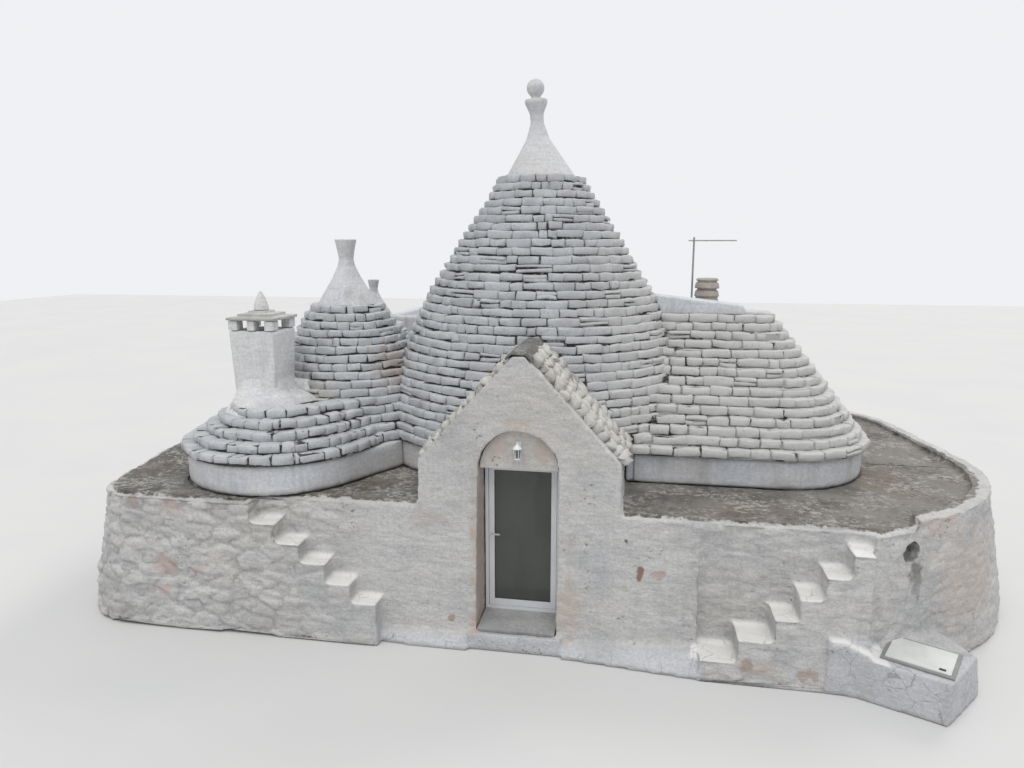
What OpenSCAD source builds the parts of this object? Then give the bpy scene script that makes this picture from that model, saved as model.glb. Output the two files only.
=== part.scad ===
// Trullo house: a dry stone house with a tall main cone, a side cone with a
// chimney lobe, a hipped wing and a gabled porch, on a thick limewashed base wall.
// All sizes in millimetres. X runs to the right along the front, Y to the back, Z up.
// The origin is on the ground, at the centre of the main round room.

/* [Base wall] */
// Height of the base wall and its terrace above the ground
wall_h = 1910; // [1850:10:1990]
// How far the round wall leans in from its foot to the terrace
batter = 90; // [60:10:130]
// Front edge of the terrace beside the porch, from the room centre
front_y = 3650; // [3600:10:3700]
// How far the front wall beside the porch leans in from foot to terrace
front_batter = 140; // [100:10:170]
// Front edge of the two thick wall ends, from the room centre
end_y = 3970; // [3930:10:4020]
// Rear edge of the terrace, from the room centre
rear_y = 4000; // [3900:20:4200]
// Left edge of the terrace, from the room centre
left_x = 6350; // [6250:10:6450]
// Right edge of the terrace, from the room centre
right_x = 6900; // [6800:10:7000]
// Radius of the wall at the front left corner
corner_r = 800; // [700:10:900]
// Radius of the wall at its left side
left_r = 2150; // [2050:10:2250]
// Radius of the wall at its right side
right_r = 3000; // [2900:10:3100]
// Radius of the rear left corner
rear_left_r = 1800; // [1600:50:2000]
// Radius of the rear right corner
rear_right_r = 2600; // [2400:50:2800]
// Height of the room floors above the ground
floor_h = 260; // [220:10:280]
// Thickness of the terrace paving
paving_t = 40; // [30:5:60]
// Width of the bare wall top in front of the paving
paving_edge = 110; // [90:10:160]
// Width of the raised coping round the right end
coping_w = 300; // [220:10:360]
// Height of the raised coping above the wall
coping_h = 120; // [60:10:140]

/* [Main room and cone] */
// Radius of the main room
room_r = 1900; // [1800:10:1950]
// Radius of the plastered drum under the main cone
drum_r = 2750; // [2700:10:2800]
// Height of the eaves above the ground
eave_z = 2360; // [2340:10:2380]
// Overhang of the lowest course past the drum
eave_out = 40; // [20:5:60]
// Height of one course of roof stones
course_h = 125; // [115:5:140]
// How far each course leans in from bottom to top
course_lean = 15; // [5:5:20]
// Thickness of the stone roof over the inner dome
roof_t = 300; // [250:10:340]
// Height where the stones stop and the plaster cap starts
cap_z = 6460; // [6360:25:6560]
// Diameter of the ball on top
ball_d = 300; // [260:10:340]
// Height of the top of the ball
ball_top = 8060; // [8010:10:8160]
// Lean of the cap of the main cone to the left, in degrees
cap_lean = 3.2; // [0:0.1:4]

/* [Porch and door] */
// Place of the porch axis to the right of the room centre
porch_x = 200; // [150:10:240]
// Width of the porch
porch_w = 2750; // [2650:10:2800]
// Height of the porch eaves
shoulder_z = 2560; // [2510:10:2660]
// Height of the porch gable
apex_z = 3970; // [3860:10:4060]
// Thickness of the stones on the porch roof
porch_roof_t = 120; // [90:10:150]
// Thickness of the gable wall that stands up in front of the porch roof
gable_t = 260; // [200:10:320]
// Width of the doorway
door_w = 1050; // [1000:10:1100]
// Height of the springing of the arch
spring_z = 2440; // [2400:5:2500]
// Depth of the door frame behind the wall face
door_recess = 440; // [400:10:500]
// Depth of the arched panel behind the wall face
panel_recess = 110; // [80:10:160]
// How much the passage widens on each side behind the door frame
rebate = 110; // [90:10:130]
// Face width of the door frame
frame_w = 45; // [35:5:60]
// Depth of the door frame
frame_d = 60; // [50:5:70]
// Face width of the stiles of the door leaf
stile_w = 75; // [60:5:90]
// Height of the bottom rail of the door leaf
rail_h = 95; // [80:5:120]
// Thickness of the door leaf
leaf_t = 50; // [40:2:54]
// Running gap round the door leaf
leaf_gap = 6; // [5:1:8]
// Thickness of the glass unit
glass_t = 24; // [16:2:30]
// Height of the lever handle above the ground
handle_z = 1390; // [1260:10:1460]

/* [Side cone and chimney] */
// Place of the side cone in X and Y
side_at = [-3250, -700];
// Radius of the room under the side cone
side_room_r = 950; // [850:10:1000]
// Radius of the side cone at its eaves
side_r = 1800; // [1750:10:1850]
// Height where the stones of the side cone stop and its plaster cap starts
side_cap_z = 4360; // [4235:25:4485]
// Height of the top of the side cone
side_top = 5460; // [5360:20:5560]
// Place of the lobe in front of the side cone
lobe_at = [-3680, -2335];
// Radius of the lobe at its eaves
lobe_r = 1430; // [1380:10:1450]
// Place of the chimney
stack_at = [-3990, -2300];
// Width of the chimney above its foot
stack_w0 = 620; // [600:10:680]
// Width of the chimney at its top
stack_w1 = 730; // [700:10:780]
// Width of the flue
flue_w = 340; // [300:10:360]
// Height of the chimney stack
stack_z = 4100; // [4010:10:4160]
// Width of the flared chimney foot
foot_w = 1040; // [960:10:1100]
// Height of the flared chimney foot
foot_h = 460; // [400:10:520]
// Height of the smoke openings
smoke_h = 150; // [120:5:180]
// Place of the small rear cone
rear_cone_at = [-3750, 1900];
// Radius of the small rear cone at its eaves
rear_cone_r = 1150; // [1050:10:1180]
// Height where the stones of the rear cone stop
rear_cap_z = 3760; // [3660:20:3860]
// Height of the top of the rear cone
rear_top = 4660; // [4560:20:4760]

/* [Hipped wing] */
// Right end of the wing at its eaves
wing_x = 5150; // [5100:10:5250]
// Half of the depth of the wing at its eaves
wing_y = 2200; // [2150:10:2250]
// Radius of the wing corners at its eaves
wing_corner = 1400; // [1300:10:1450]
// Number of courses on the wing
wing_courses = 15; // [14:1:16]
// How far each course steps in at the end
wing_step_x = 95; // [90:1:100]
// How far each course steps in at the front and the back
wing_step_y = 130; // [120:1:135]

/* [Stairs and cistern] */
// Number of steps of the left stair
left_steps = 5; // [4:1:5]
// Rise of one step of the left stair
left_rise = 255; // [240:5:260]
// Run of one step of the left stair
left_run = 360; // [340:5:370]
// Number of steps of the right stair
right_steps = 6; // [5:1:6]
// Rise of one step of the right stair
right_rise = 295; // [280:5:300]
// Run of the two lowest steps of the right stair
right_run_low = 430; // [400:5:440]
// Run of the other steps of the right stair
right_run_high = 285; // [270:5:300]
// Thickness of one tread stone
tread_t = 70; // [50:5:90]
// Height of the kerb at the wall
kerb_h = 180; // [150:10:200]
// Height of the kerb at its front edge
kerb_edge = 50; // [40:10:70]
// How far the kerb stands out in front of the wall foot
kerb_out = 140; // [120:10:180]
// Height of the cistern block
cistern_h = 520; // [480:10:540]
// Width of the cistern block
cistern_w = 520; // [480:10:560]

/* [Hidden] */
$fn = 256;

// Small values that keep cuts clean and curved faces apart
over = 10;
seat = 0.3;
thin = 1;
far = 20000;

// Facets of the rounded corners and of small round things
corner_fn = 72;
small_fn = 48;
thin_fn = 32;
lantern_fn = 24;

// Colours
lime = [0.88, 0.86, 0.83];
plaster = [0.92, 0.91, 0.9];
roof_stone = [0.86, 0.85, 0.83];
dark_stone = [0.33, 0.31, 0.28];
grey_stone = [0.6, 0.57, 0.52];
white_metal = [0.93, 0.94, 0.95];

// Rounds of the base wall as X, Y and radius at the terrace
end_round_y = 2870;
end_round_r = end_y - end_round_y - batter;
rounds = [
    [-left_x + left_r, -1450, left_r],
    [-5250, -end_y + corner_r, corner_r],
    [4200, -end_round_y, end_round_r],
    [right_x - right_r, -700, right_r],
    [4000, rear_y - rear_right_r, rear_right_r],
    [-4200, rear_y - rear_left_r, rear_left_r],
];

// Bulging feet of the wall as X, Y, radius and height
feet = [
    [-5400, -3100, 1000, 400],
    [4350, -600, 2900, 300],
];

// Front wall between the two thick ends, set back behind the stairs
foot_y = front_y + front_batter;
front_lean = atan(front_batter / wall_h);
left_first_x = -1650;
left_first_z = 610;
right_first_x = 2580;
right_first_z = 280;
low_runs = 2;
function left_x_at(i) = left_first_x - i * left_run;
function left_z_at(i) = left_first_z + i * left_rise;
function right_x_at(i) =
    right_first_x + min(i, low_runs) * right_run_low + max(i - low_runs, 0) * right_run_high;
function right_z_at(i) = right_first_z + i * right_rise;
left_end_x = left_x_at(left_steps);
right_end_x = right_x_at(right_steps);

// Walls, passages and rooms
side_cut = 2150;
left_split_y = side_at[1];
passage_w = 900;
passage_h = wall_h;
side_passage_w = 600;
wing_wall_t = 250;
wing_room_x0 = drum_r + wing_wall_t;
wing_end_wall = 750;
wing_room_x1 = wing_x - wing_end_wall;
wing_room_y = 1200;
hearth_w = 600;
hearth_back = 2600;
rear_passage_w = 800;
face_y = foot_y - front_batter * spring_z / wall_h;
frame_y = face_y - door_recess;

// Rear flat roofed room
rear_room_x0 = -4000;
rear_room_x1 = 600;
rear_room_y0 = 3150;
rear_room_y1 = 5500;
rear_room_t = 450;
rear_room_z = 3560;
parapet_z = 3810;
parapet_t = 220;
slab_t = 200;

// Profile of the main cone as height and radius
main_profile = [
    [eave_z - over, drum_r + eave_out], [3110, 2510], [3760, 2240], [4490, 1890], [5030, 1545],
    [5560, 1210], [6090, 845], [cap_z, 650],
];
void_profile = [
    [eave_z, room_r], [3060, 1620], [3860, 1180], [4660, 690], [5360, 250], [5610, 0],
];
dome_top = 5860;
dome_step = 700;

// Cap of the main cone, as shares of its height and its radii
collar_h = 70;
neck_h = 30;
collar_z = ball_top - ball_d - neck_h - collar_h;
cap_shape = [[0, 600], [0.26, 400], [0.53, 200], [0.75, 112], [0.87, 118], [1, 185]];
cap_shift = 30;
cap_skirt = 80;
collar_r = 190;
neck_r = 75;
ball_r = ball_d / 2;

// Side cone and rear cone
side_profile = [
    [eave_z - over, side_r + eave_out], [3110, 1330], [3860, 850], [side_cap_z, 520],
];
side_void = [[eave_z, side_room_r], [3060, 700], [3860, 330], [4210, 0]];
rear_profile = [[eave_z - over, rear_cone_r + eave_out], [3060, 850], [rear_cap_z, 500]];
side_cap_shape = [[0, 515], [0.2, 385], [0.41, 245], [0.59, 150], [0.7, 125], [0.84, 150], [1, 190]];
side_cup = [150, 110];
rear_cap_shape = [[0, 480], [0.33, 300], [0.58, 160], [0.73, 95], [0.82, 90], [1, 125]];
rear_cup = [95, 70];
lobe_n = 5;
lobe_top_z = eave_z + lobe_n * course_h;
lobe_top_r = 560;
lobe_neck = 0.8;

function main_r(z) = lookup(z, main_profile);
function swap(points, grow = 0) = [for (p = points) [p[1] + grow, p[0]]];

// Outer points of stepped courses from z0 up to z1, for a radius function given as a table
function courses(table, z0, z1) =
    let (n = floor((z1 - z0) / course_h), h = (z1 - z0) / n)
    [for (i = [0 : n - 1])
        let (z = z0 + i * h, r = lookup(z, table))
        each [[r, z], [r - course_lean, z + h]]];

// Points of a cap between two heights, from its shape in shares of that height
function cap_points(shape, z0, z1) = [for (p = shape) [p[1], z0 + p[0] * (z1 - z0)]];

// The round body of the base wall, cut off level at a height
module envelope(height) {
    hull() {
        for (q = rounds)
            translate([q[0], q[1], 0])
                cylinder(h = height, r1 = q[2] + batter, r2 = q[2] + batter - batter * height / wall_h,
                    $fn = corner_fn);
        for (f = feet)
            translate([f[0], f[1], 0]) cylinder(h = min(f[3], height), r = f[2], $fn = corner_fn);
    }
}

// Everything in front of the set back front wall, between two X planes
module in_front(x0, x1) {
    translate([x0, -foot_y, 0])
        rotate([-front_lean, 0, 0])
            translate([0, -far, -far / 2]) cube([x1 - x0, far, far]);
}

// Prism in front of the wall behind the right stair, which stands back further at its foot
stair_back = 3580;
stair_back_top = front_y - 10;
stair_front = 4110;
stair_front_top = 3990;
module stair_niche(out) {
    translate([right_first_x, 0, 0])
        rotate([90, 0, 90])
            linear_extrude(right_end_x - right_first_x)
                polygon([
                    [-stair_back, 0], [-stair_back_top, wall_h], [-stair_back_top, wall_h + over],
                    [-out, wall_h + over], [-out, -over], [-stair_back, -over],
                ]);
}

// Slab that the right stair is stepped from
module right_stair_slab() {
    translate([right_first_x, 0, 0])
        rotate([90, 0, 90])
            linear_extrude(right_end_x - right_first_x)
                polygon([
                    [-stair_back, 0], [-stair_back_top, wall_h],
                    [-stair_front_top, wall_h], [-stair_front, 0],
                ]);
}

// Slab that the left stair is stepped from, in line with the thick wall end
module left_stair_slab() {
    difference() {
        envelope(wall_h);
        behind_front();
    }
}

// Everything behind the face of the set back front wall
module behind_front() {
    translate([-far, -foot_y, 0])
        rotate([-front_lean, 0, 0])
            translate([0, 0, -far / 2]) cube([2 * far, far, far]);
}

// Outline of the terrace, moved in by an inset
module terrace_outline(inset) {
    difference() {
        hull() for (q = rounds) translate([q[0], q[1]]) circle(q[2] - inset, $fn = corner_fn);
        translate([left_end_x - inset, -far])
            square([right_end_x - left_end_x + 2 * inset, far - front_y + inset]);
    }
}

// Plan of the rooms, the passages between them and the hearth, drawn smaller by a gap
module rooms_plan(gap = 0) {
    circle(room_r - gap);
    translate(side_at) circle(side_room_r - gap);
    translate([side_at[0], side_at[1] - side_passage_w / 2 + gap])
        square([-side_at[0], side_passage_w - 2 * gap]);
    translate([stack_at[0] - hearth_w / 2 + gap, -hearth_back + gap])
        square([hearth_w - 2 * gap, hearth_back + side_at[1] - 2 * gap]);
    translate([0, -passage_w / 2 + gap]) square([wing_room_x0 + over, passage_w - 2 * gap]);
    translate([wing_room_x0 + gap, -wing_room_y + gap])
        square([wing_room_x1 - wing_room_x0 - 2 * gap, 2 * wing_room_y - 2 * gap]);
    translate([-rear_passage_w / 2 + gap, 0]) square([rear_passage_w - 2 * gap, rear_room_y0 - gap]);
    door_plan(gap);
}

// Plan of the doorway, wider behind the door frame
module door_plan(gap = 0) {
    translate([porch_x - door_w / 2 + gap, -far]) square([door_w - 2 * gap, far - frame_y + over]);
    translate([porch_x - door_w / 2 - rebate + gap, -frame_y + frame_d + gap])
        square([door_w + 2 * rebate - 2 * gap, frame_y - frame_d - room_r / 2]);
}

// One block of the base wall between two X and two Y planes
module base_block(x0, x1, y0, y1) {
    color(lime)
        difference() {
            intersection() {
                envelope(wall_h);
                translate([x0, y0, -over]) cube([x1 - x0, y1 - y0, wall_h + 2 * over]);
            }
            translate([0, 0, -over]) linear_extrude(wall_h + 2 * over) rooms_plan();
            if (y0 < -front_y) {
                in_front(left_end_x, right_end_x);
                stair_niche(far);
            }
            if (y1 > rear_room_y0) rear_room_cut();
        }
}

// Space taken by the rear room
module rear_room_cut() {
    translate([rear_room_x0, rear_room_y0, -over])
        cube([rear_room_x1 - rear_room_x0, far, far]);
}

porch_x0 = porch_x - porch_w / 2;
porch_x1 = porch_x + porch_w / 2;
module front_wall_left() { base_block(-side_cut, porch_x0, -far, left_split_y); }
module front_wall_right() { base_block(porch_x1, side_cut, -far, 0); }
module rear_wall_left() { base_block(-side_cut, 0, left_split_y, far); }
module rear_wall_right() { base_block(0, side_cut, 0, far); }
module left_wing_front_wall() { base_block(-far, -side_cut, -far, left_split_y); }
module left_wing_rear_wall() { base_block(-far, -side_cut, left_split_y, far); }
module right_wing_front_wall() {
    difference() {
        base_block(side_cut, far, -far, 0);
        spout_hole();
    }
}
module right_wing_rear_wall() { base_block(side_cut, far, 0, far); }

// Round rainwater hole in the right end, over the cistern block
spout_at = [5170, -3540];
spout_turn = -58;
spout_z = 1620;
spout_r = 115;
spout_depth = 400;
module spout_hole() {
    translate([spout_at[0], spout_at[1], spout_z])
        rotate([0, 90, spout_turn])
            translate([0, 0, -spout_depth])
                cylinder(h = 2 * spout_depth, r = spout_r);
}

module room_floor() {
    color(grey_stone)
        linear_extrude(floor_h)
            difference() {
                rooms_plan(seat);
                translate([-far, -far]) square([2 * far, far - frame_y + frame_d]);
                translate([wing_room_x0 - seat, -far]) square([2 * seat, far - passage_w / 2 + seat]);
            }
}

// Everything that stands up through the terrace
module roofs_plan(grow = 0) {
    circle(drum_r + grow);
    side_outline(side_r + grow, lobe_r + grow);
    translate(rear_cone_at) circle(rear_cone_r + grow);
    wing_outline(wing_x + grow, wing_y + grow, wing_corner + grow);
    translate([porch_x0 - grow, -far]) square([porch_w + 2 * grow, far]);
    translate([rear_room_x0 - grow, rear_room_y0 - grow])
        square([rear_room_x1 - rear_room_x0 + 2 * grow, far]);
}

module terrace_paving() {
    color(dark_stone)
        translate([0, 0, wall_h])
            linear_extrude(paving_t)
                difference() {
                    terrace_outline(paving_edge);
                    roofs_plan(seat);
                    coping_plan(seat);
                }
}

// Raised white coping round the right end of the terrace
coping_x = right_end_x + 2 * coping_w;
module coping_plan(grow = 0) {
    intersection() {
        difference() {
            terrace_outline(0);
            terrace_outline(coping_w + grow);
        }
        translate([coping_x - grow, -far]) square([far, 2 * far]);
    }
}
module wall_coping() {
    color(plaster) translate([0, 0, wall_h]) linear_extrude(coping_h) coping_plan();
}

// Porch
pier_back_y = 600;
module porch_pier(x0, x1) {
    color(lime)
        difference() {
            translate([x0, -foot_y - over, 0]) cube([x1 - x0, foot_y + over - pier_back_y, spring_z]);
            in_front(x0 - over, x1 + over);
            translate([0, 0, -over])
                linear_extrude(spring_z + 2 * over) {
                    circle(room_r);
                    door_plan();
                }
        }
}
module porch_left_pier() { porch_pier(porch_x0, porch_x - door_w / 2); }
module porch_right_pier() { porch_pier(porch_x + door_w / 2, porch_x1); }

// Front outline of the porch above the springing, with a blunt top, lowered by a drop
apex_w = 180;
module gable_outline(drop) {
    polygon([
        [-porch_w / 2, spring_z], [porch_w / 2, spring_z],
        [porch_w / 2, shoulder_z - drop], [apex_w / 2, apex_z - drop],
        [-apex_w / 2, apex_z - drop], [-porch_w / 2, shoulder_z - drop],
    ]);
}

// Stand an outline drawn in X and Z up, from one distance in front of the room to another
module stand_up(y0, y1) {
    translate([porch_x, -y1, 0]) rotate([90, 0, 0]) linear_extrude(y0 - y1) children();
}

module main_void() {
    rotate_extrude()
        polygon(concat([[0, floor_h], [room_r, floor_h]], swap(void_profile)));
}

porch_back = 1000;
module porch_gable() {
    color(lime)
        difference() {
            union() {
                stand_up(face_y, face_y - gable_t) gable_outline(0);
                stand_up(face_y - gable_t, porch_back) gable_outline(porch_roof_t);
            }
            translate([porch_x, 0, spring_z])
                rotate([90, 0, 0]) cylinder(h = far, r = door_w / 2);
            translate([porch_x, -frame_y + frame_d, spring_z])
                rotate([-90, 0, 0]) cylinder(h = far, r = door_w / 2 + rebate);
            main_void();
        }
}

module porch_lunette() {
    color(plaster)
        intersection() {
            translate([porch_x, -face_y + panel_recess, spring_z])
                rotate([-90, 0, 0])
                    cylinder(h = door_recess + frame_d - panel_recess, r = door_w / 2 - seat);
            translate([porch_x - door_w, -far, spring_z]) cube([2 * door_w, far, door_w]);
        }
}

// A smooth cone that just holds the stepped courses, standing on its drum
module cone_body(table, drum, grow, top) {
    rotate_extrude()
        polygon(concat(
            [[0, 0], [drum + grow, 0], [drum + grow, eave_z], [drum + eave_out + grow, eave_z]],
            [for (p = table) [p[1] + grow, p[0] + course_h]],
            [[0, top + course_h]]));
}
module main_cone_body(grow = 0) { cone_body(main_profile, drum_r, grow, cap_z); }

module porch_roof() {
    color(roof_stone)
        difference() {
            stand_up(face_y - gable_t, porch_back)
                difference() {
                    gable_outline(0);
                    gable_outline(porch_roof_t);
                }
            main_cone_body(seat);
        }
}

// Dark slab along the ridge of the porch
ridge_w = 360;
ridge_t = 70;
ridge_back = 20;
module porch_ridge() {
    slope = (apex_z - shoulder_z) / (porch_w / 2 - apex_w / 2);
    low = apex_z + seat - slope * (ridge_w - apex_w) / 2;
    color(dark_stone)
        difference() {
            stand_up(face_y - ridge_back, porch_back)
                polygon([
                    [-apex_w / 2, apex_z + seat], [apex_w / 2, apex_z + seat],
                    [ridge_w / 2, low], [ridge_w / 2, low + ridge_t], [apex_w / 2, apex_z + ridge_t],
                    [-apex_w / 2, apex_z + ridge_t], [-ridge_w / 2, low + ridge_t], [-ridge_w / 2, low],
                ]);
            main_cone_body(seat);
        }
}

// Door
module door_frame() {
    color(white_metal)
        translate([porch_x - door_w / 2, -frame_y, floor_h])
            difference() {
                cube([door_w, frame_d, spring_z - floor_h]);
                translate([frame_w, -over, frame_w])
                    cube([door_w - 2 * frame_w, frame_d + 2 * over, spring_z - floor_h - 2 * frame_w]);
            }
}

leaf_x0 = porch_x - door_w / 2 + frame_w + leaf_gap;
leaf_w = door_w - 2 * (frame_w + leaf_gap);
leaf_z0 = floor_h + frame_w + leaf_gap;
leaf_h = spring_z - floor_h - 2 * (frame_w + leaf_gap);
leaf_y0 = -frame_y + frame_d - leaf_t;
spindle_x = leaf_x0 + stile_w / 2;
spindle_r = 8;
spindle_gap = 0.4;
rose_r = 26;
rose_t = 10;
lock_r = 20;
lock_t = 5;
lock_drop = 90;

// Hinges on the inner face, a frame knuckle under a leaf knuckle
hinge_x = porch_x + door_w / 2 - frame_w - leaf_gap / 2;
hinge_out = 12;
knuckle_r = 9;
knuckle_h = 50;
plate_t = 3;
plate_w = 34;
hinge_low = 180;
hinge_high = 280;
hinge_heights = [leaf_z0 + hinge_low, leaf_z0 + leaf_h / 2, leaf_z0 + leaf_h - hinge_high];

// One half of a hinge, its plate reaching to one side
module hinge_half(side) {
    edge = leaf_gap / 2 + thin;
    translate([hinge_x, leaf_y0 + leaf_t + hinge_out, 0])
        union() {
            cylinder(h = knuckle_h, r = knuckle_r, $fn = small_fn);
            translate([side > 0 ? edge : -plate_w, -hinge_out, 0])
                cube([plate_w - edge, plate_t, knuckle_h]);
            translate([side > 0 ? edge : -edge - plate_t, -hinge_out, 0])
                cube([plate_t, hinge_out, knuckle_h]);
        }
}

module door_hinges() {
    color(white_metal) for (z = hinge_heights) translate([0, 0, z]) hinge_half(1);
}

module door_leaf() {
    color(white_metal)
        union() {
            difference() {
                translate([leaf_x0, leaf_y0, leaf_z0]) cube([leaf_w, leaf_t, leaf_h]);
                translate([leaf_x0 + stile_w, leaf_y0 - over, leaf_z0 + rail_h])
                    cube([leaf_w - 2 * stile_w, leaf_t + 2 * over, leaf_h - rail_h - stile_w]);
                translate([spindle_x, leaf_y0 - over, handle_z])
                    rotate([-90, 0, 0])
                        cylinder(h = leaf_t + 2 * over, r = spindle_r + spindle_gap, $fn = thin_fn);
            }
            for (y = [leaf_y0 - rose_t, leaf_y0 + leaf_t])
                translate([spindle_x, y, handle_z])
                    rotate([-90, 0, 0])
                        difference() {
                            cylinder(h = rose_t, r = rose_r, $fn = small_fn);
                            translate([0, 0, -over])
                                cylinder(h = rose_t + 2 * over, r = spindle_r + spindle_gap, $fn = thin_fn);
                        }
            for (y = [leaf_y0 - lock_t, leaf_y0 + leaf_t])
                translate([spindle_x, y, handle_z - lock_drop])
                    rotate([-90, 0, 0]) cylinder(h = lock_t, r = lock_r, $fn = small_fn);
            for (z = hinge_heights) translate([0, 0, z + knuckle_h + seat]) hinge_half(-1);
        }
}

module door_glass() {
    color([0.2, 0.22, 0.2, 0.7])
        translate([leaf_x0 + stile_w, leaf_y0 + (leaf_t - glass_t) / 2, leaf_z0 + rail_h])
            cube([leaf_w - 2 * stile_w, glass_t, leaf_h - rail_h - stile_w]);
}

lever_len = 125;
lever_h = 20;
lever_t = 12;
lever_out = 45;
hub_r = 12;
module door_handle() {
    color([0.8, 0.8, 0.8])
        union() {
            translate([spindle_x, leaf_y0 - lever_out - lever_t, handle_z])
                rotate([-90, 0, 0])
                    cylinder(h = leaf_t + 2 * (lever_out + lever_t), r = spindle_r, $fn = thin_fn);
            for (y = [leaf_y0 - lever_out - lever_t, leaf_y0 + leaf_t + lever_out])
                translate([spindle_x, y, handle_z])
                    rotate([-90, 0, 0])
                        union() {
                            cylinder(h = lever_t, r = hub_r, $fn = thin_fn);
                            translate([0, -lever_h / 2, 0]) cube([lever_len - lever_h / 2, lever_h, lever_t]);
                            translate([lever_len - lever_h / 2, 0, 0])
                                cylinder(h = lever_t, r = lever_h / 2, $fn = thin_fn);
                        }
        }
}

sill_front = foot_y - front_batter * floor_h / wall_h;
module door_sill() {
    color(grey_stone)
        translate([porch_x - door_w / 2, -sill_front, 0])
            cube([door_w, sill_front - frame_y + frame_d, floor_h]);
}

// Plastered step in front of the sill
step_d = 90;
step_w = 110;
step_drop = 20;
module doorstep() {
    color(plaster)
        difference() {
            translate([porch_x - door_w / 2 - step_w, -foot_y - step_d, 0])
                cube([door_w + 2 * step_w, step_d + front_batter, floor_h - step_drop]);
            behind_front();
        }
}

// Wall lantern on the arched panel
lantern_r0 = 37;
lantern_r1 = 55;
lantern_h = 150;
lantern_up = 170;
lantern_out = 110;
hood_h = 70;
hood_r0 = 67;
hood_r1 = 8;
back_w = 70;
back_t = 15;
back_h = 160;
back_up = 60;
arm_w = 20;
arm_up = 190;
module wall_lantern() {
    color(plaster)
        translate([porch_x, -face_y + panel_recess, spring_z + lantern_up]) {
            translate([-back_w / 2, -back_t, back_up]) cube([back_w, back_t, back_h]);
            translate([-arm_w / 2, -lantern_out, arm_up]) cube([arm_w, lantern_out - thin, arm_w]);
            translate([0, -lantern_out, 0]) {
                cylinder(h = lantern_h, r1 = lantern_r0, r2 = lantern_r1, $fn = lantern_fn);
                translate([0, 0, lantern_h]) cylinder(h = hood_h, r1 = hood_r0, r2 = hood_r1, $fn = lantern_fn);
            }
        }
}

// Room that the porch takes out of the main cone and its drum
porch_cut_y = 100;
module porch_cut() {
    stand_up(far, porch_cut_y) {
        gable_outline(porch_roof_t);
        translate([-porch_w / 2, 0]) square([porch_w, spring_z + over]);
    }
}

module main_drum() {
    color(plaster)
        difference() {
            translate([0, 0, wall_h]) cylinder(h = eave_z - wall_h, r = drum_r);
            translate([0, 0, wall_h - over]) cylinder(h = eave_z - wall_h + 2 * over, r = room_r);
            porch_cut();
        }
}

// Points of the face between the dome and the stone roof, from the top down
dome_face = concat(
    [[main_r(dome_top) - roof_t, dome_top]],
    [for (z = [dome_top - dome_step : -dome_step : eave_z + dome_step / 2]) [main_r(z) - roof_t, z]],
    [[main_r(eave_z) - roof_t, eave_z]]);

module main_dome() {
    color([0.75, 0.73, 0.7])
        difference() {
            rotate_extrude()
                polygon(concat(swap(void_profile), [[0, dome_top]], dome_face));
            porch_cut();
        }
}

module main_roof() {
    color(roof_stone)
        difference() {
            rotate_extrude()
                polygon(concat(
                    courses(main_profile, eave_z, cap_z),
                    [[0, cap_z], [0, dome_top + seat]],
                    [for (p = dome_face) [p[0] + seat, p[1] + (p[1] == dome_top ? seat : 0)]]));
            porch_cut();
        }
}

// Lean to the left by the cap and what stands on it
module leaning() {
    translate([-cap_shift, 0, cap_z]) rotate([0, -cap_lean, 0]) translate([0, 0, -cap_z]) children();
}

module main_cap() {
    color(plaster)
        difference() {
            leaning()
                rotate_extrude()
                    polygon(concat(
                        [[0, cap_z - cap_skirt], [cap_shape[0][1], cap_z - cap_skirt]],
                        cap_points(cap_shape, cap_z, collar_z),
                        [[collar_r, collar_z], [collar_r, collar_z + collar_h], [0, collar_z + collar_h]]));
            translate([-far / 2, -far / 2, cap_z - far]) cube(far);
        }
}

module main_pinnacle() {
    ball_z = ball_top - ball_r;
    color(plaster)
        leaning()
            difference() {
                union() {
                    translate([0, 0, collar_z + collar_h])
                        cylinder(h = ball_z - collar_z - collar_h, r = neck_r);
                    translate([0, 0, ball_z]) sphere(ball_r);
                }
                translate([0, 0, collar_z + collar_h - ball_r]) cylinder(h = ball_r, r = ball_r);
            }
}

// Side cone with the lobe round the chimney
module side_outline(side, lobe) {
    hull() {
        translate(side_at) circle(side, $fn = corner_fn);
        translate(lobe_at) circle(lobe, $fn = corner_fn);
    }
}

module flue(z0, z1) {
    translate([stack_at[0] - flue_w / 2, stack_at[1] - flue_w / 2, z0])
        cube([flue_w, flue_w, z1 - z0]);
}

module side_drum() {
    color(plaster)
        difference() {
            translate([0, 0, wall_h]) linear_extrude(eave_z - wall_h) side_outline(side_r, lobe_r);
            translate([side_at[0], side_at[1], wall_h - over])
                cylinder(h = eave_z - wall_h + 2 * over, r = side_room_r);
            flue(wall_h - over, eave_z + over);
            translate([0, 0, wall_h - over]) cylinder(h = eave_z, r = drum_r + seat);
        }
}

// Radius of the lobe at a height
function lobe_radius(z) = lookup(z, [[eave_z, lobe_r + eave_out], [lobe_top_z, lobe_top_r]]);

module side_cone_body(grow = 0) {
    translate([side_at[0], side_at[1], 0]) cone_body(side_profile, side_r, grow, side_cap_z);
}

module side_roof() {
    color(roof_stone)
        difference() {
            translate([side_at[0], side_at[1], 0])
                rotate_extrude()
                    polygon(concat(
                        courses(side_profile, eave_z, side_cap_z),
                        [[0, side_cap_z]],
                        swap([for (i = [len(side_void) - 1 : -1 : 0]) side_void[i]])));
            chimney_space(seat);
            shoulder_body(seat);
            main_cone_body(seat);
        }
}

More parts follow.
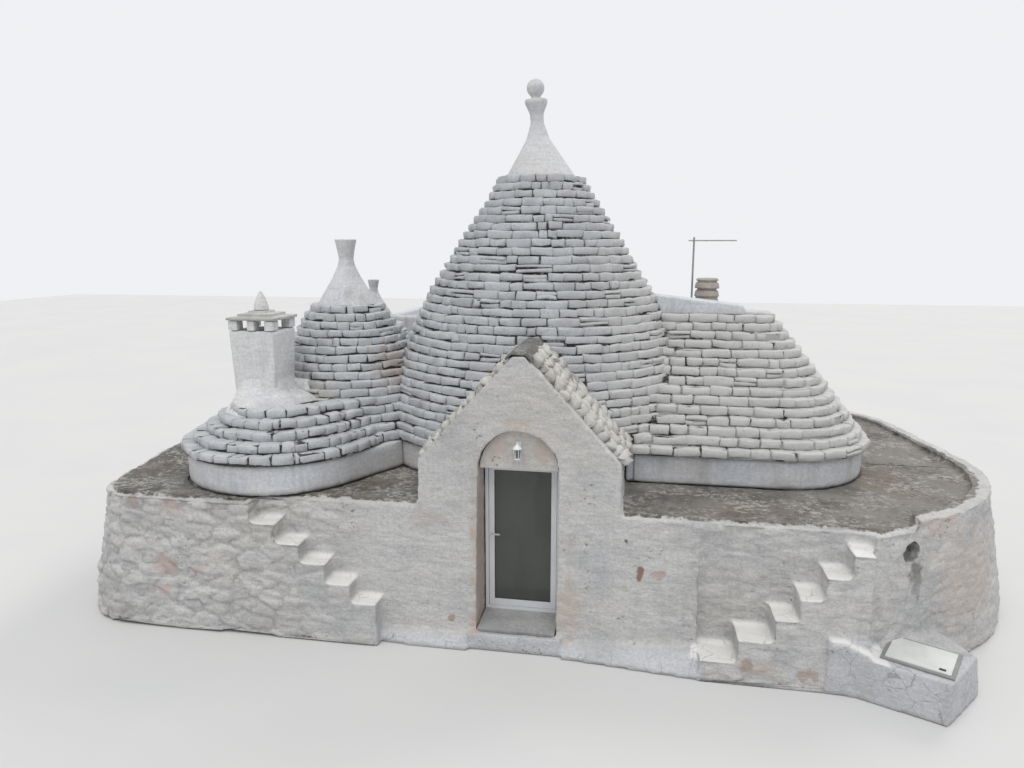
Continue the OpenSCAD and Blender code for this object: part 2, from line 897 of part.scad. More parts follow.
module lobe_roof() {
    color(roof_stone)
        difference() {
            for (i = [0 : lobe_n - 1])
                translate([0, 0, eave_z + i * course_h])
                    linear_extrude(course_h)
                        side_outline(side_r * lobe_neck, lobe_radius(eave_z + i * course_h));
            chimney_space(seat);
            shoulder_body(seat);
            side_cone_body(seat);
            main_cone_body(seat);
        }
}

module side_cap() {
    color(plaster)
        translate([side_at[0], side_at[1], 0])
            rotate_extrude()
                polygon(concat(
                    [[0, side_cap_z]], cap_points(side_cap_shape, side_cap_z, side_top),
                    [
                        [side_cup[0], side_top], [side_cup[1], side_top - side_cup[1]],
                        [0, side_top - side_cup[0]],
                    ]));
}

module rear_cone() {
    color(roof_stone)
        difference() {
            translate([rear_cone_at[0], rear_cone_at[1], 0])
                rotate_extrude()
                    polygon(concat(
                        [[0, wall_h], [rear_cone_r, wall_h], [rear_cone_r, eave_z]],
                        courses(rear_profile, eave_z, rear_cap_z),
                        [[0, rear_cap_z]]));
            side_cone_body(seat);
            main_cone_body(seat);
        }
}

module rear_cone_cap() {
    color(plaster)
        translate([rear_cone_at[0], rear_cone_at[1], 0])
            rotate_extrude()
                polygon(concat(
                    [[0, rear_cap_z]], cap_points(rear_cap_shape, rear_cap_z, rear_top),
                    [
                        [rear_cup[0], rear_top], [rear_cup[1], rear_top - rear_cup[1]],
                        [0, rear_top - rear_cup[0]],
                    ]));
}

// Chimney: a square stack on a flared foot that stands in the roof over the lobe
foot_z = eave_z + 2 * course_h;
module square_slab(width, z, t) {
    translate([stack_at[0] - width / 2, stack_at[1] - width / 2, z]) cube([width, width, t]);
}
module stack_body() {
    hull() {
        square_slab(stack_w0, foot_z, thin);
        square_slab(stack_w1, stack_z - thin, thin);
    }
}
module foot_body(grow) {
    hull() {
        square_slab(foot_w + 2 * grow, foot_z - grow, thin);
        square_slab(stack_w0 + 2 * grow, foot_z + foot_h, thin);
    }
}

// Space that the chimney takes out of the roofs round it
module chimney_space(grow) {
    foot_body(grow);
    square_slab(foot_w + 2 * grow, wall_h, foot_z - wall_h + thin);
    hull() {
        square_slab(stack_w0 + 2 * grow, foot_z, thin);
        square_slab(stack_w1 + 2 * grow, stack_z, thin);
    }
}

module chimney_stack() {
    color(plaster)
        difference() {
            union() {
                square_slab(foot_w, eave_z, foot_z - eave_z + thin);
                foot_body(0);
                stack_body();
            }
            flue(wall_h, far);
        }
}

// Plastered shoulder between the chimney and the side cone
shoulder_at = [[-3480, -2080], [-3560, -1900]];
shoulder_w = [620, 260];
shoulder_top = 3280;
module shoulder_body(grow) {
    hull()
        for (i = [0, 1])
            translate([
                shoulder_at[i][0] - shoulder_w[i] / 2 - grow,
                shoulder_at[i][1] - shoulder_w[i] / 2 - grow,
                (i == 0 ? foot_z - grow : shoulder_top + grow - thin),
            ])
                cube([shoulder_w[i] + 2 * grow, shoulder_w[i] + 2 * grow, thin]);
}
module chimney_shoulder() {
    color(plaster)
        difference() {
            shoulder_body(0);
            chimney_space(seat);
        }
}

// Low piers that carry the chimney slabs, a pair of openings in front and one at each side
pier_w = 150;
pier_d = 190;
middle_w = 120;
module chimney_piers() {
    half = stack_w1 / 2;
    color(plaster)
        for (s = [-1, 1]) {
            for (t = [-1, 1])
                translate([
                    stack_at[0] + (t > 0 ? half - pier_w : -half),
                    stack_at[1] + (s > 0 ? half - pier_d : -half),
                    stack_z,
                ])
                    cube([pier_w, pier_d, smoke_h]);
            translate([stack_at[0] - middle_w / 2, stack_at[1] + (s > 0 ? half - pier_w : -half), stack_z])
                cube([middle_w, pier_w, smoke_h]);
        }
}

// Three slabs of falling size
slabs = [[780, 50], [530, 45], [300, 40]];
slabs_h = slabs[0][1] + slabs[1][1] + slabs[2][1];
module chimney_slabs() {
    color([0.75, 0.74, 0.7])
        union() {
            square_slab(slabs[0][0], stack_z + smoke_h, slabs[0][1]);
            square_slab(slabs[1][0], stack_z + smoke_h + slabs[0][1], slabs[1][1]);
            square_slab(slabs[2][0], stack_z + smoke_h + slabs[0][1] + slabs[1][1], slabs[2][1]);
        }
}

finial_shape = [[115, 0], [108, 70], [74, 180], [26, 280]];
finial_h = 295;
module chimney_finial() {
    color(plaster)
        translate([stack_at[0], stack_at[1], stack_z + smoke_h + slabs_h])
            rotate_extrude() polygon(concat([[0, 0]], finial_shape, [[0, finial_h]]));
}

// Hipped wing
wing_x0 = 1500;
wing_min_corner = 140;
module wing_outline(x1, half, radius) {
    translate([wing_x0, -half]) square([x1 - radius - wing_x0, 2 * half]);
    translate([wing_x0, -half + radius]) square([x1 - wing_x0, 2 * (half - radius)]);
    for (s = [-1, 1]) translate([x1 - radius, s * (half - radius)]) circle(radius);
}

module wing_drum() {
    color(plaster)
        difference() {
            translate([0, 0, wall_h]) linear_extrude(eave_z - wall_h) wing_outline(wing_x, wing_y, wing_corner);
            translate([wing_room_x0, -wing_room_y, wall_h - over])
                cube([wing_room_x1 - wing_room_x0, 2 * wing_room_y, eave_z]);
            translate([0, 0, wall_h - over]) cylinder(h = eave_z, r = drum_r + seat);
        }
}

// The stepped courses of the wing, full inside
module wing_courses_body() {
    for (i = [0 : wing_courses - 1])
        translate([0, 0, eave_z + i * course_h])
            linear_extrude(course_h)
                wing_outline(
                    wing_x + eave_out - i * wing_step_x,
                    wing_y + eave_out - i * wing_step_y,
                    max(wing_min_corner, wing_corner - i * (wing_corner - wing_min_corner) / wing_courses));
}

// Vault over the wing room
vault_top_z = 3510;
vault_top_w = 500;
vault_top_y = 200;
module wing_vault() {
    hull() {
        translate([wing_room_x0, -wing_room_y, eave_z - over])
            cube([wing_room_x1 - wing_room_x0, 2 * wing_room_y, 2 * over]);
        translate([wing_room_x0, -vault_top_y, vault_top_z]) cube([vault_top_w, 2 * vault_top_y, over]);
    }
}

module wing_roof() {
    color(roof_stone)
        difference() {
            wing_courses_body();
            wing_vault();
            main_cone_body(seat);
        }
}

// Plastered crest on the ridge of the wing, lower at its right end
crest_step_x = 3400;
crest_end_x = wing_x + eave_out - (wing_courses - 1) * wing_step_x;
crest_half = 300;
crest_low = 45;
crest_mid = 70;
crest_high = 160;
crest_back = 370;
crest_cut = 30;
module wing_crest() {
    top = eave_z + wing_courses * course_h;
    color(plaster)
        difference() {
            translate([0, crest_half, 0]) rotate([90, 0, 0])
                linear_extrude(2 * crest_half)
                    polygon([
                        [wing_x0, top], [crest_end_x, top], [crest_end_x, top + crest_low],
                        [crest_step_x, top + crest_mid], [crest_step_x - crest_cut, top + crest_high],
                        [wing_x0, top + crest_back],
                    ]);
            main_cone_body(seat);
        }
}

// Ringed flue cowl behind the crest
cowl_at = [2880, 1100];
cowl_w = 370;
cowl_z = 4310;
cowl_foot = 3300;
cowl_rings = 3;
ring_r = 225;
ring_flare = 25;
ring_gap = 35;
ring_h = 105;
ring_core = 60;
cowl_cap = 45;
module flue_cowl() {
    pitch = ring_h + ring_gap;
    color([0.82, 0.78, 0.75])
        difference() {
            union() {
                translate([cowl_at[0] - cowl_w / 2, cowl_at[1] - cowl_w / 2, cowl_foot])
                    cube([cowl_w, cowl_w, cowl_z - cowl_foot]);
                for (i = [0 : cowl_rings - 1])
                    translate([cowl_at[0], cowl_at[1], cowl_z + i * pitch])
                        union() {
                            cylinder(h = ring_h, r1 = ring_r, r2 = ring_r - ring_flare);
                            cylinder(h = pitch, r = ring_r - ring_core);
                        }
                translate([cowl_at[0], cowl_at[1], cowl_z + cowl_rings * pitch])
                    cylinder(h = cowl_cap, r1 = ring_r - ring_flare / 2, r2 = ring_r - 2 * ring_flare);
            }
            wing_courses_body();
        }
}

// Aerial: a mast with a boom and its rods
aerial_at = [2630, 1300];
aerial_top = 5500;
aerial_foot = eave_z + (floor((wing_y + eave_out - aerial_at[1]) / wing_step_y) + 1) * course_h;
mast_r = 17;
boom_r = 12;
boom_len = 850;
boom_drop = 60;
boom_left = 100;
rod_r = 7;
rod_len = 320;
rods = 7;
rod_pitch = 120;
rod_first = 60;
module aerial_mast() {
    color([0.55, 0.55, 0.52])
        translate([aerial_at[0], aerial_at[1], aerial_foot])
            cylinder(h = aerial_top - boom_drop - boom_r - aerial_foot, r = mast_r, $fn = 12);
}
module aerial_boom() {
    color([0.55, 0.55, 0.52])
        translate([aerial_at[0] - boom_left, aerial_at[1], aerial_top - boom_drop])
            union() {
                rotate([0, 90, 0]) cylinder(h = boom_len, r = boom_r, $fn = 8);
                for (i = [0 : rods - 1])
                    translate([rod_first + i * rod_pitch, -rod_len / 2, 0])
                        rotate([-90, 0, 0]) cylinder(h = rod_len, r = rod_r, $fn = 6);
                translate([boom_left, 0, -boom_r]) cylinder(h = boom_drop + boom_r, r = mast_r, $fn = 12);
            }
}

// Rear room with a flat roof behind a parapet
module rear_room_walls() {
    color(plaster)
        difference() {
            translate([rear_room_x0, rear_room_y0, 0])
                cube([rear_room_x1 - rear_room_x0, rear_room_y1 - rear_room_y0, rear_room_z - slab_t]);
            translate([rear_room_x0 + rear_room_t, rear_room_y0 + rear_room_t, floor_h])
                cube([
                    rear_room_x1 - rear_room_x0 - 2 * rear_room_t,
                    rear_room_y1 - rear_room_y0 - 2 * rear_room_t, far,
                ]);
            translate([-rear_passage_w / 2, rear_room_y0 - over, floor_h])
                cube([rear_passage_w, rear_room_t + 2 * over, passage_h - floor_h]);
        }
}

module rear_room_roof() {
    color(plaster)
        difference() {
            translate([rear_room_x0, rear_room_y0, rear_room_z - slab_t])
                cube([
                    rear_room_x1 - rear_room_x0, rear_room_y1 - rear_room_y0,
                    parapet_z - rear_room_z + slab_t,
                ]);
            translate([rear_room_x0 + parapet_t, rear_room_y0 + parapet_t, rear_room_z])
                cube([
                    rear_room_x1 - rear_room_x0 - 2 * parapet_t,
                    rear_room_y1 - rear_room_y0 - 2 * parapet_t, far,
                ]);
        }
}

// Kerb along the foot of the front wall, a plastered ledge that slopes to the front
kerb_taper_x = -2300;
kerb_full_x = -1300;
kerb_taper = 0.3;
kerb_right_out = 320;
kerb_right_h = 290;
kerb_ends = [kerb_full_x, porch_x - door_w / 2 - step_w, porch_x + door_w / 2 + step_w, right_first_x];
module kerb_slice(x, out, h) {
    translate([x, 0, 0])
        rotate([90, 0, 90])
            linear_extrude(thin)
                polygon([
                    [-foot_y - out, 0], [-foot_y - out, kerb_edge], [-foot_y, h], [-front_y, h], [-front_y, 0],
                ]);
}
module front_kerb() {
    color(plaster)
        difference() {
            union() {
                hull() {
                    kerb_slice(kerb_taper_x, kerb_out * kerb_taper, kerb_h);
                    kerb_slice(kerb_ends[0], kerb_out, kerb_h);
                }
                hull() {
                    kerb_slice(kerb_ends[0], kerb_out, kerb_h);
                    kerb_slice(kerb_ends[1] - thin, kerb_out, kerb_h);
                }
                hull() {
                    kerb_slice(kerb_ends[2], kerb_out, kerb_h);
                    kerb_slice(kerb_ends[3] - thin - seat, kerb_right_out, kerb_right_h);
                }
            }
            behind_front();
            intersection() {
                envelope(wall_h);
                translate([-far, -far, -over]) cube([far + left_first_x + seat, 2 * far, far]);
            }
        }
}

// Stairs: stepped masses in line with the thick wall ends, with a tread stone on each step
module stair_mass(x0s, x1s, tops) {
    color(lime)
        intersection() {
            children();
            union()
                for (i = [0 : len(tops) - 1])
                    translate([x0s[i], -far, 0]) cube([x1s[i] - x0s[i], far, tops[i] - tread_t]);
        }
}
module tread_stones(x0s, x1s, tops) {
    color(plaster)
        intersection() {
            children();
            union()
                for (i = [0 : len(tops) - 1])
                    translate([x0s[i] + seat, -far, tops[i] - tread_t])
                        cube([x1s[i] - x0s[i] - 2 * seat, far, tread_t]);
        }
}

left_x0s = [for (i = [0 : left_steps - 1]) left_x_at(i + 1)];
left_x1s = [for (i = [0 : left_steps - 1]) left_x_at(i)];
left_tops = [for (i = [0 : left_steps - 1]) left_z_at(i)];
right_x0s = [for (i = [0 : right_steps - 1]) right_x_at(i)];
right_x1s = [for (i = [0 : right_steps - 1]) right_x_at(i + 1)];
right_tops = [for (i = [0 : right_steps - 1]) right_z_at(i)];
module left_stair() { stair_mass(left_x0s, left_x1s, left_tops) left_stair_slab(); }
module left_treads() { tread_stones(left_x0s, left_x1s, left_tops) left_stair_slab(); }
module right_stair() { stair_mass(right_x0s, right_x1s, right_tops) right_stair_slab(); }
module right_treads() { tread_stones(right_x0s, right_x1s, right_tops) right_stair_slab(); }

// Cistern block at the right end of the wall, with a ledge that slopes up from it to the stair
cistern_foot_x = 4780;
cistern_plan = [
    [4050, -3970], [4360, -4130], [4860, -4340], [cistern_foot_x + cistern_w, -4570], [5920, -3810],
    [5400, -2800], [4400, -3000],
];
cistern_top = [
    [4200, -4000], [4480, -4060], [4900, -4250],
    [cistern_foot_x + cistern_w + over, -4530], [5850, -3820],
    [5400, -2800], [4400, -3000],
];
ledge_x = [4100, 4260, 4500, 4650];
ledge_y = [4125, 4150];
ledge_w = 500;
ledge_z = 690;
module cistern_block() {
    color([0.85, 0.85, 0.86])
        difference() {
            union() {
                hull() {
                    linear_extrude(thin) polygon(cistern_plan);
                    translate([0, 0, cistern_h - thin]) linear_extrude(thin) polygon(cistern_top);
                }
                hull() {
                    translate([ledge_x[0], -ledge_y[0], 0]) cube([ledge_x[1] - ledge_x[0], ledge_w, ledge_z]);
                    translate([ledge_x[2], -ledge_y[1], 0]) cube([ledge_x[3] - ledge_x[2], ledge_w, cistern_h]);
                }
            }
            envelope(wall_h);
            right_stair_slab();
        }
}

// Iron lid in its frame on the cistern block
lid_at = [5335, -4385];
lid_turn = -28;
lid_w = 690;
lid_d = 560;
lid_t = 30;
lid_frame = 45;
lid_frame_t = 18;
module cistern_lid() {
    color(white_metal)
        difference() {
            translate([lid_at[0], lid_at[1], cistern_h])
                rotate([0, 0, lid_turn])
                    union() {
                        translate([-lid_w, 0, 0]) cube([lid_w, lid_d, lid_t]);
                        translate([-lid_w - lid_frame, -lid_frame, 0])
                            cube([lid_w + 2 * lid_frame, lid_d + 2 * lid_frame, lid_frame_t]);
                    }
            envelope(wall_h);
        }
}

front_wall_left();
front_wall_right();
rear_wall_left();
rear_wall_right();
left_wing_front_wall();
left_wing_rear_wall();
right_wing_front_wall();
right_wing_rear_wall();
room_floor();
terrace_paving();
wall_coping();
porch_left_pier();
porch_right_pier();
porch_gable();
porch_lunette();
porch_roof();
porch_ridge();
door_frame();
door_hinges();
door_leaf();
door_glass();
door_handle();
door_sill();
doorstep();
wall_lantern();
main_drum();
main_dome();
main_roof();
main_cap();
main_pinnacle();
side_drum();
side_roof();
lobe_roof();
side_cap();
rear_cone();
rear_cone_cap();
chimney_stack();
chimney_shoulder();
chimney_piers();
chimney_slabs();
chimney_finial();
wing_drum();
wing_roof();
wing_crest();
flue_cowl();
aerial_mast();
aerial_boom();
rear_room_walls();
rear_room_roof();
front_kerb();
left_stair();
left_treads();
right_stair();
right_treads();
cistern_block();
cistern_lid();
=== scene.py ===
"""Looks of the trullo house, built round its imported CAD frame."""

import logging
import math
from dataclasses import dataclass, field
from enum import Enum
from typing import Callable

import bmesh
import bpy
import numpy as np
from mathutils.kdtree import KDTree
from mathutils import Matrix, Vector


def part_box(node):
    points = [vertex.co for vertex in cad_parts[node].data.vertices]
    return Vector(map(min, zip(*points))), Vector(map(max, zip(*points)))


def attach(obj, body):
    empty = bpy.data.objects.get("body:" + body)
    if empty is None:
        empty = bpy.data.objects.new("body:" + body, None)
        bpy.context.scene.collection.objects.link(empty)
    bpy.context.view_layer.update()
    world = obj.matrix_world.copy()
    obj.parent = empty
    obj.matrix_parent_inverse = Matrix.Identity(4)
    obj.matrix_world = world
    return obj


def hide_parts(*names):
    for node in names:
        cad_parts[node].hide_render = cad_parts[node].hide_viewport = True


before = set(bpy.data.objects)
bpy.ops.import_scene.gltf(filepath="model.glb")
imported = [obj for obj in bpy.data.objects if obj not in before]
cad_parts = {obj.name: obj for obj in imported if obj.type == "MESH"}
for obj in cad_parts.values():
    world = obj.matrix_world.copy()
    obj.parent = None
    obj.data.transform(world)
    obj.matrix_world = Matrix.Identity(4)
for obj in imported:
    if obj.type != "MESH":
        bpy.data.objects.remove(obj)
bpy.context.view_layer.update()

LOG = logging.getLogger("trullo")
HOUSE = "house"
DOOR = "door"
Colour = tuple[float, float, float, float]
Point = tuple[float, float, float]
Pair = tuple[float, float]
Extent = tuple[float, float, float, float]
Table = tuple[Pair, ...]
Names = tuple[str, ...]
Piece = bpy.types.Object
Material = bpy.types.Material
Tree = bpy.types.NodeTree
Node = bpy.types.Node
Socket = bpy.types.NodeSocket
Sockets = bpy.types.bpy_prop_collection
HALF_BACK: Point = (-0.5, -0.5, -0.5)


def rgb(red: float, green: float, blue: float) -> Colour:
    """A plain opaque colour."""
    return (red, green, blue, 1.0)


class Slot(Enum):
    """Material slots of the record, named beside new pieces but not used to give them a finish."""

    WALL = "wall_limewash"
    ROOF = "roof_stone"
    PLASTER = "white_plaster"
    DARK = "dark_stone"
    ALUMINIUM = "white_aluminium"
    GLASS = "door_glass"
    CONCRETE = "flue_concrete"
    LID = "lid_paint"


class Sketch:
    """A node tree that is filled with short calls, for shaders and for geometry."""

    def __init__(self, tree: Tree) -> None:
        """Keep the tree that is filled."""
        self.tree = tree

    def add(self, kind: str, inputs: dict | None = None, **settings: object) -> Node:
        """Add a node.

        Args:
            kind: Blender's name of the node type.
            inputs: Values or sockets by the input's name or number.
            settings: Plain settings of the node.

        Returns:
            The new node.
        """
        node = self.tree.nodes.new(kind)
        for name, value in settings.items():
            setattr(node, name, value)
        for key, value in (inputs or {}).items():
            self.put(node, key, value)
        return node

    def put(self, node: Node, key: object, value: object) -> None:
        """Give an input a value, or a link where the value is a socket."""
        if isinstance(value, Socket):
            self.tree.links.new(value, node.inputs[key])
        else:
            node.inputs[key].default_value = value

    def math(self, operation: str, a: object, b: object = 0.0, clamp: bool = False) -> Socket:
        """One operation on two values."""
        return self.add("ShaderNodeMath", {0: a, 1: b}, operation=operation, use_clamp=clamp).outputs[0]

    def mul(self, a: object, b: object, clamp: bool = False) -> Socket:
        """The product of two values."""
        return self.math("MULTIPLY", a, b, clamp)

    def plus(self, a: object, b: object, clamp: bool = False) -> Socket:
        """The sum of two values."""
        return self.math("ADD", a, b, clamp)

    def less(self, a: object, b: object) -> Socket:
        """A value less another one."""
        return self.math("SUBTRACT", a, b)

    def times(self, vector: object, factor: object) -> Socket:
        """A vector grown by one factor."""
        return self.add("ShaderNodeVectorMath", {0: vector, 3: factor}, operation="SCALE").outputs[0]

    def grey(self, value: object) -> Socket:
        """A grey, or a vector with one value in all its places."""
        return self.add("ShaderNodeCombineXYZ", {0: value, 1: value, 2: value}).outputs[0]

    def stored(self, name: str, kind: str = "FLOAT") -> Socket:
        """A value that a mesh carries, in a tree of geometry nodes."""
        return self.add("GeometryNodeInputNamedAttribute", {"Name": name}, data_type=kind).outputs[0]

    def scaled(self, vector: object, by: Point) -> Socket:
        """A vector stretched along its axes."""
        return self.add("ShaderNodeVectorMath", {0: vector, 1: by}, operation="MULTIPLY").outputs[0]

    def moved(self, vector: object, by: object) -> Socket:
        """A vector plus another one."""
        return self.add("ShaderNodeVectorMath", {0: vector, 1: by}, operation="ADD").outputs[0]

    def noise(self, vector: object, scale: float, detail: float = 3.0, rough: float = 0.55) -> Socket:
        """Soft noise from 0 to 1."""
        inputs = {"Vector": vector, "Scale": scale, "Detail": detail, "Roughness": rough}
        return self.add("ShaderNodeTexNoise", inputs).outputs[0]

    def noise_colour(self, vector: object, scale: float, detail: float = 2.0) -> Socket:
        """Noise as a vector round 0.5."""
        return self.add("ShaderNodeTexNoise", {"Vector": vector, "Scale": scale, "Detail": detail}).outputs[1]

    def remap(self, value: object, low: float, high: float, to_low: float = 0.0, to_high: float = 1.0) -> Socket:
        """A value moved smoothly from one range to another."""
        inputs = {"Value": value, "From Min": low, "From Max": high, "To Min": to_low, "To Max": to_high}
        return self.add("ShaderNodeMapRange", inputs, interpolation_type="SMOOTHSTEP").outputs[0]

    def blend(self, factor: object, a: object, b: object, mode: str = "MIX") -> Socket:
        """Two colours mixed by a factor."""
        node = self.add("ShaderNodeMix", data_type="RGBA", blend_type=mode)
        for socket, value in ((node.inputs[0], factor), (node.inputs[6], a), (node.inputs[7], b)):
            if isinstance(value, Socket):
                self.tree.links.new(value, socket)
            else:
                socket.default_value = value
        return node.outputs[2]

    def split(self, vector: object) -> Sockets:
        """The X, Y and Z of a vector."""
        return self.add("ShaderNodeSeparateXYZ", {0: vector}).outputs


def rubble(s: Sketch, at: object, size: object) -> tuple[Socket, Socket]:
    """Flat stones in rough rows, the same for the shape and for the colour.

    Args:
        s: Tree that is filled.
        at: Place in metres.
        size: Length of a stone.

    Returns:
        How far a place lies from the nearest joint, and a number of each stone's own.
    """
    broad = s.scaled(s.moved(s.noise_colour(at, 1.9), HALF_BACK), (0.34, 0.34, 0.18))
    fine = s.scaled(s.moved(s.noise_colour(at, 8.5), HALF_BACK), (0.15, 0.15, 0.09))
    warp = s.moved(s.moved(at, broad), fine)
    values = {"Vector": s.scaled(warp, (1.0, 1.0, 2.1)), "Scale": s.math("DIVIDE", 1.0, size), "Randomness": 0.95}
    edge = s.add("ShaderNodeTexVoronoi", values, feature="DISTANCE_TO_EDGE").outputs[0]
    own = s.add("ShaderNodeTexVoronoi", values).outputs["Color"]
    return edge, s.split(own)[0]


def unevenness(s: Sketch, at: object) -> Socket:
    """How strongly the rubble shows: most at the left end, least on the porch."""
    x, y, _ = s.split(at)
    left = s.remap(x, -3.7, -1.6, 1.0, 0.24)
    right = s.remap(x, 1.5, 3.4, 0.0, 0.24)
    rear = s.remap(y, -1.0, 1.0, 0.0, 0.3)
    return s.plus(s.plus(left, right), rear, clamp=True)


class ShaderGroups:
    """Effects that several materials share, each built once as a group of nodes."""

    def __init__(self) -> None:
        """Build the groups."""
        self.mottle = self._mottle()
        self.pits = self._pits()
        self.lichen = self._lichen()
        self.grime = self._grime()
        self.craze = self._craze()

    @staticmethod
    def _start(name: str, values: dict[str, float | Colour], *outputs: str) -> tuple[Tree, Sketch, Sockets, Node]:
        """Make an empty group.

        Args:
            name: Name of the group.
            values: Inputs with their first values, beside the vector.
            outputs: Names of the outputs, of which Color is a colour and the others are values.

        Returns:
            The tree, its sketch, the input sockets and the output node.
        """
        tree = bpy.data.node_groups.new(name, "ShaderNodeTree")
        tree.interface.new_socket("Vector", in_out="INPUT", socket_type="NodeSocketVector")
        for key, value in values.items():
            kind = "NodeSocketColor" if isinstance(value, tuple) else "NodeSocketFloat"
            tree.interface.new_socket(key, in_out="INPUT", socket_type=kind).default_value = value
        for key in outputs:
            kind = "NodeSocketColor" if key == "Color" else "NodeSocketFloat"
            tree.interface.new_socket(key, in_out="OUTPUT", socket_type=kind)
        sketch = Sketch(tree)
        return tree, sketch, sketch.add("NodeGroupInput").outputs, sketch.add("NodeGroupOutput")

    def _mottle(self) -> Tree:
        """Cloudy limewash: three tones in soft patches, with thin brush streaks."""
        values = {"Base": rgb(0.6, 0.6, 0.6), "Warm": rgb(0.6, 0.5, 0.45), "Cool": rgb(0.5, 0.5, 0.55), "Size": 1.0}
        tree, s, inp, out = self._start("limewash_mottle", values, "Color", "Height")
        at = s.times(inp["Vector"], inp["Size"])
        warm = s.remap(s.noise(at, 0.9, 4.0, 0.6), 0.42, 0.7, 0.0, 0.85)
        cool = s.remap(s.noise(s.moved(at, (7.0, 3.0, 9.0)), 1.4, 4.0, 0.6), 0.45, 0.72, 0.0, 0.8)
        streak = s.noise(s.scaled(at, (2.0, 2.0, 17.0)), 1.6, 4.0, 0.65)
        colour = s.blend(warm, inp["Base"], inp["Warm"])
        colour = s.blend(cool, colour, inp["Cool"])
        shade = s.remap(streak, 0.3, 0.7, 0.94, 1.04)
        fine = s.remap(s.noise(at, 27.0, 4.0, 0.75), 0.3, 0.66, 0.84, 1.06)
        both = s.mul(shade, fine)
        s.put(out, "Color", s.blend(1.0, colour, s.grey(both), "MULTIPLY"))
        grain = s.plus(s.mul(streak, 0.25), s.mul(s.noise(at, 34.0, 4.0, 0.75), 0.75))
        s.put(out, "Height", grain)
        return tree

    def _pits(self) -> Tree:
        """Small pocks and missing flakes, as a mask and a height."""
        values = {"Scale": 9.0, "Cover": 0.35}
        tree, s, inp, out = self._start("pocks", values, "Mask", "Height")
        warp = s.moved(inp["Vector"], s.scaled(s.noise_colour(inp["Vector"], 5.0), (0.16, 0.16, 0.1)))
        cells = s.add("ShaderNodeTexVoronoi", {"Vector": warp, "Scale": inp["Scale"]}).outputs[0]
        spot = s.remap(cells, 0.1, 0.3, 1.0, 0.0)
        place = s.noise(s.moved(inp["Vector"], (2.0, 5.0, 1.0)), 2.3, 3.0, 0.6)
        gate = s.less(s.plus(place, inp["Cover"]), 0.86)
        gate = s.mul(gate, 9.0, clamp=True)
        mask = s.mul(spot, gate, clamp=True)
        s.put(out, "Mask", mask)
        s.put(out, "Height", s.less(1.0, mask))
        return tree

    def _lichen(self) -> Tree:
        """Dark crusty growth in broken spots."""
        values = {"Scale": 6.0, "Cover": 0.5}
        tree, s, inp, out = self._start("lichen", values, "Mask")
        broad = s.noise(inp["Vector"], 1.1, 3.0, 0.6)
        scaled = s.times(inp["Vector"], inp["Scale"])
        crust = s.noise(scaled, 2.4, 5.0, 0.75)
        total = s.plus(s.mul(broad, 0.7), s.mul(crust, 0.8))
        level = s.less(s.plus(total, inp["Cover"]), 1.25)
        s.put(out, "Mask", s.mul(level, 7.0, clamp=True))
        return tree

    def _grime(self) -> Tree:
        """Grey runs of rain, long in Z and thin across."""
        values = {"Cover": 0.5}
        tree, s, inp, out = self._start("rain_runs", values, "Mask")
        runs = s.noise(s.scaled(inp["Vector"], (7.0, 7.0, 0.7)), 1.0, 4.0, 0.65)
        broad = s.noise(s.moved(inp["Vector"], (1.0, 8.0, 4.0)), 0.8, 3.0, 0.6)
        level = s.less(s.plus(s.plus(runs, broad), inp["Cover"]), 1.45)
        s.put(out, "Mask", s.mul(level, 4.0, clamp=True))
        return tree

    def _craze(self) -> Tree:
        """A net of hair cracks in old plaster."""
        values = {"Scale": 3.0}
        tree, s, inp, out = self._start("hair_cracks", values, "Mask")
        warp = s.moved(inp["Vector"], s.scaled(s.noise_colour(inp["Vector"], 4.0), (0.12, 0.12, 0.12)))
        inputs = {"Vector": warp, "Scale": inp["Scale"]}
        edge = s.add("ShaderNodeTexVoronoi", inputs, feature="DISTANCE_TO_EDGE").outputs[0]
        broken = s.remap(s.noise(inp["Vector"], 3.0, 3.0), 0.38, 0.55)
        s.put(out, "Mask", s.mul(s.remap(edge, 0.004, 0.016, 1.0, 0.0), broken, clamp=True))
        return tree


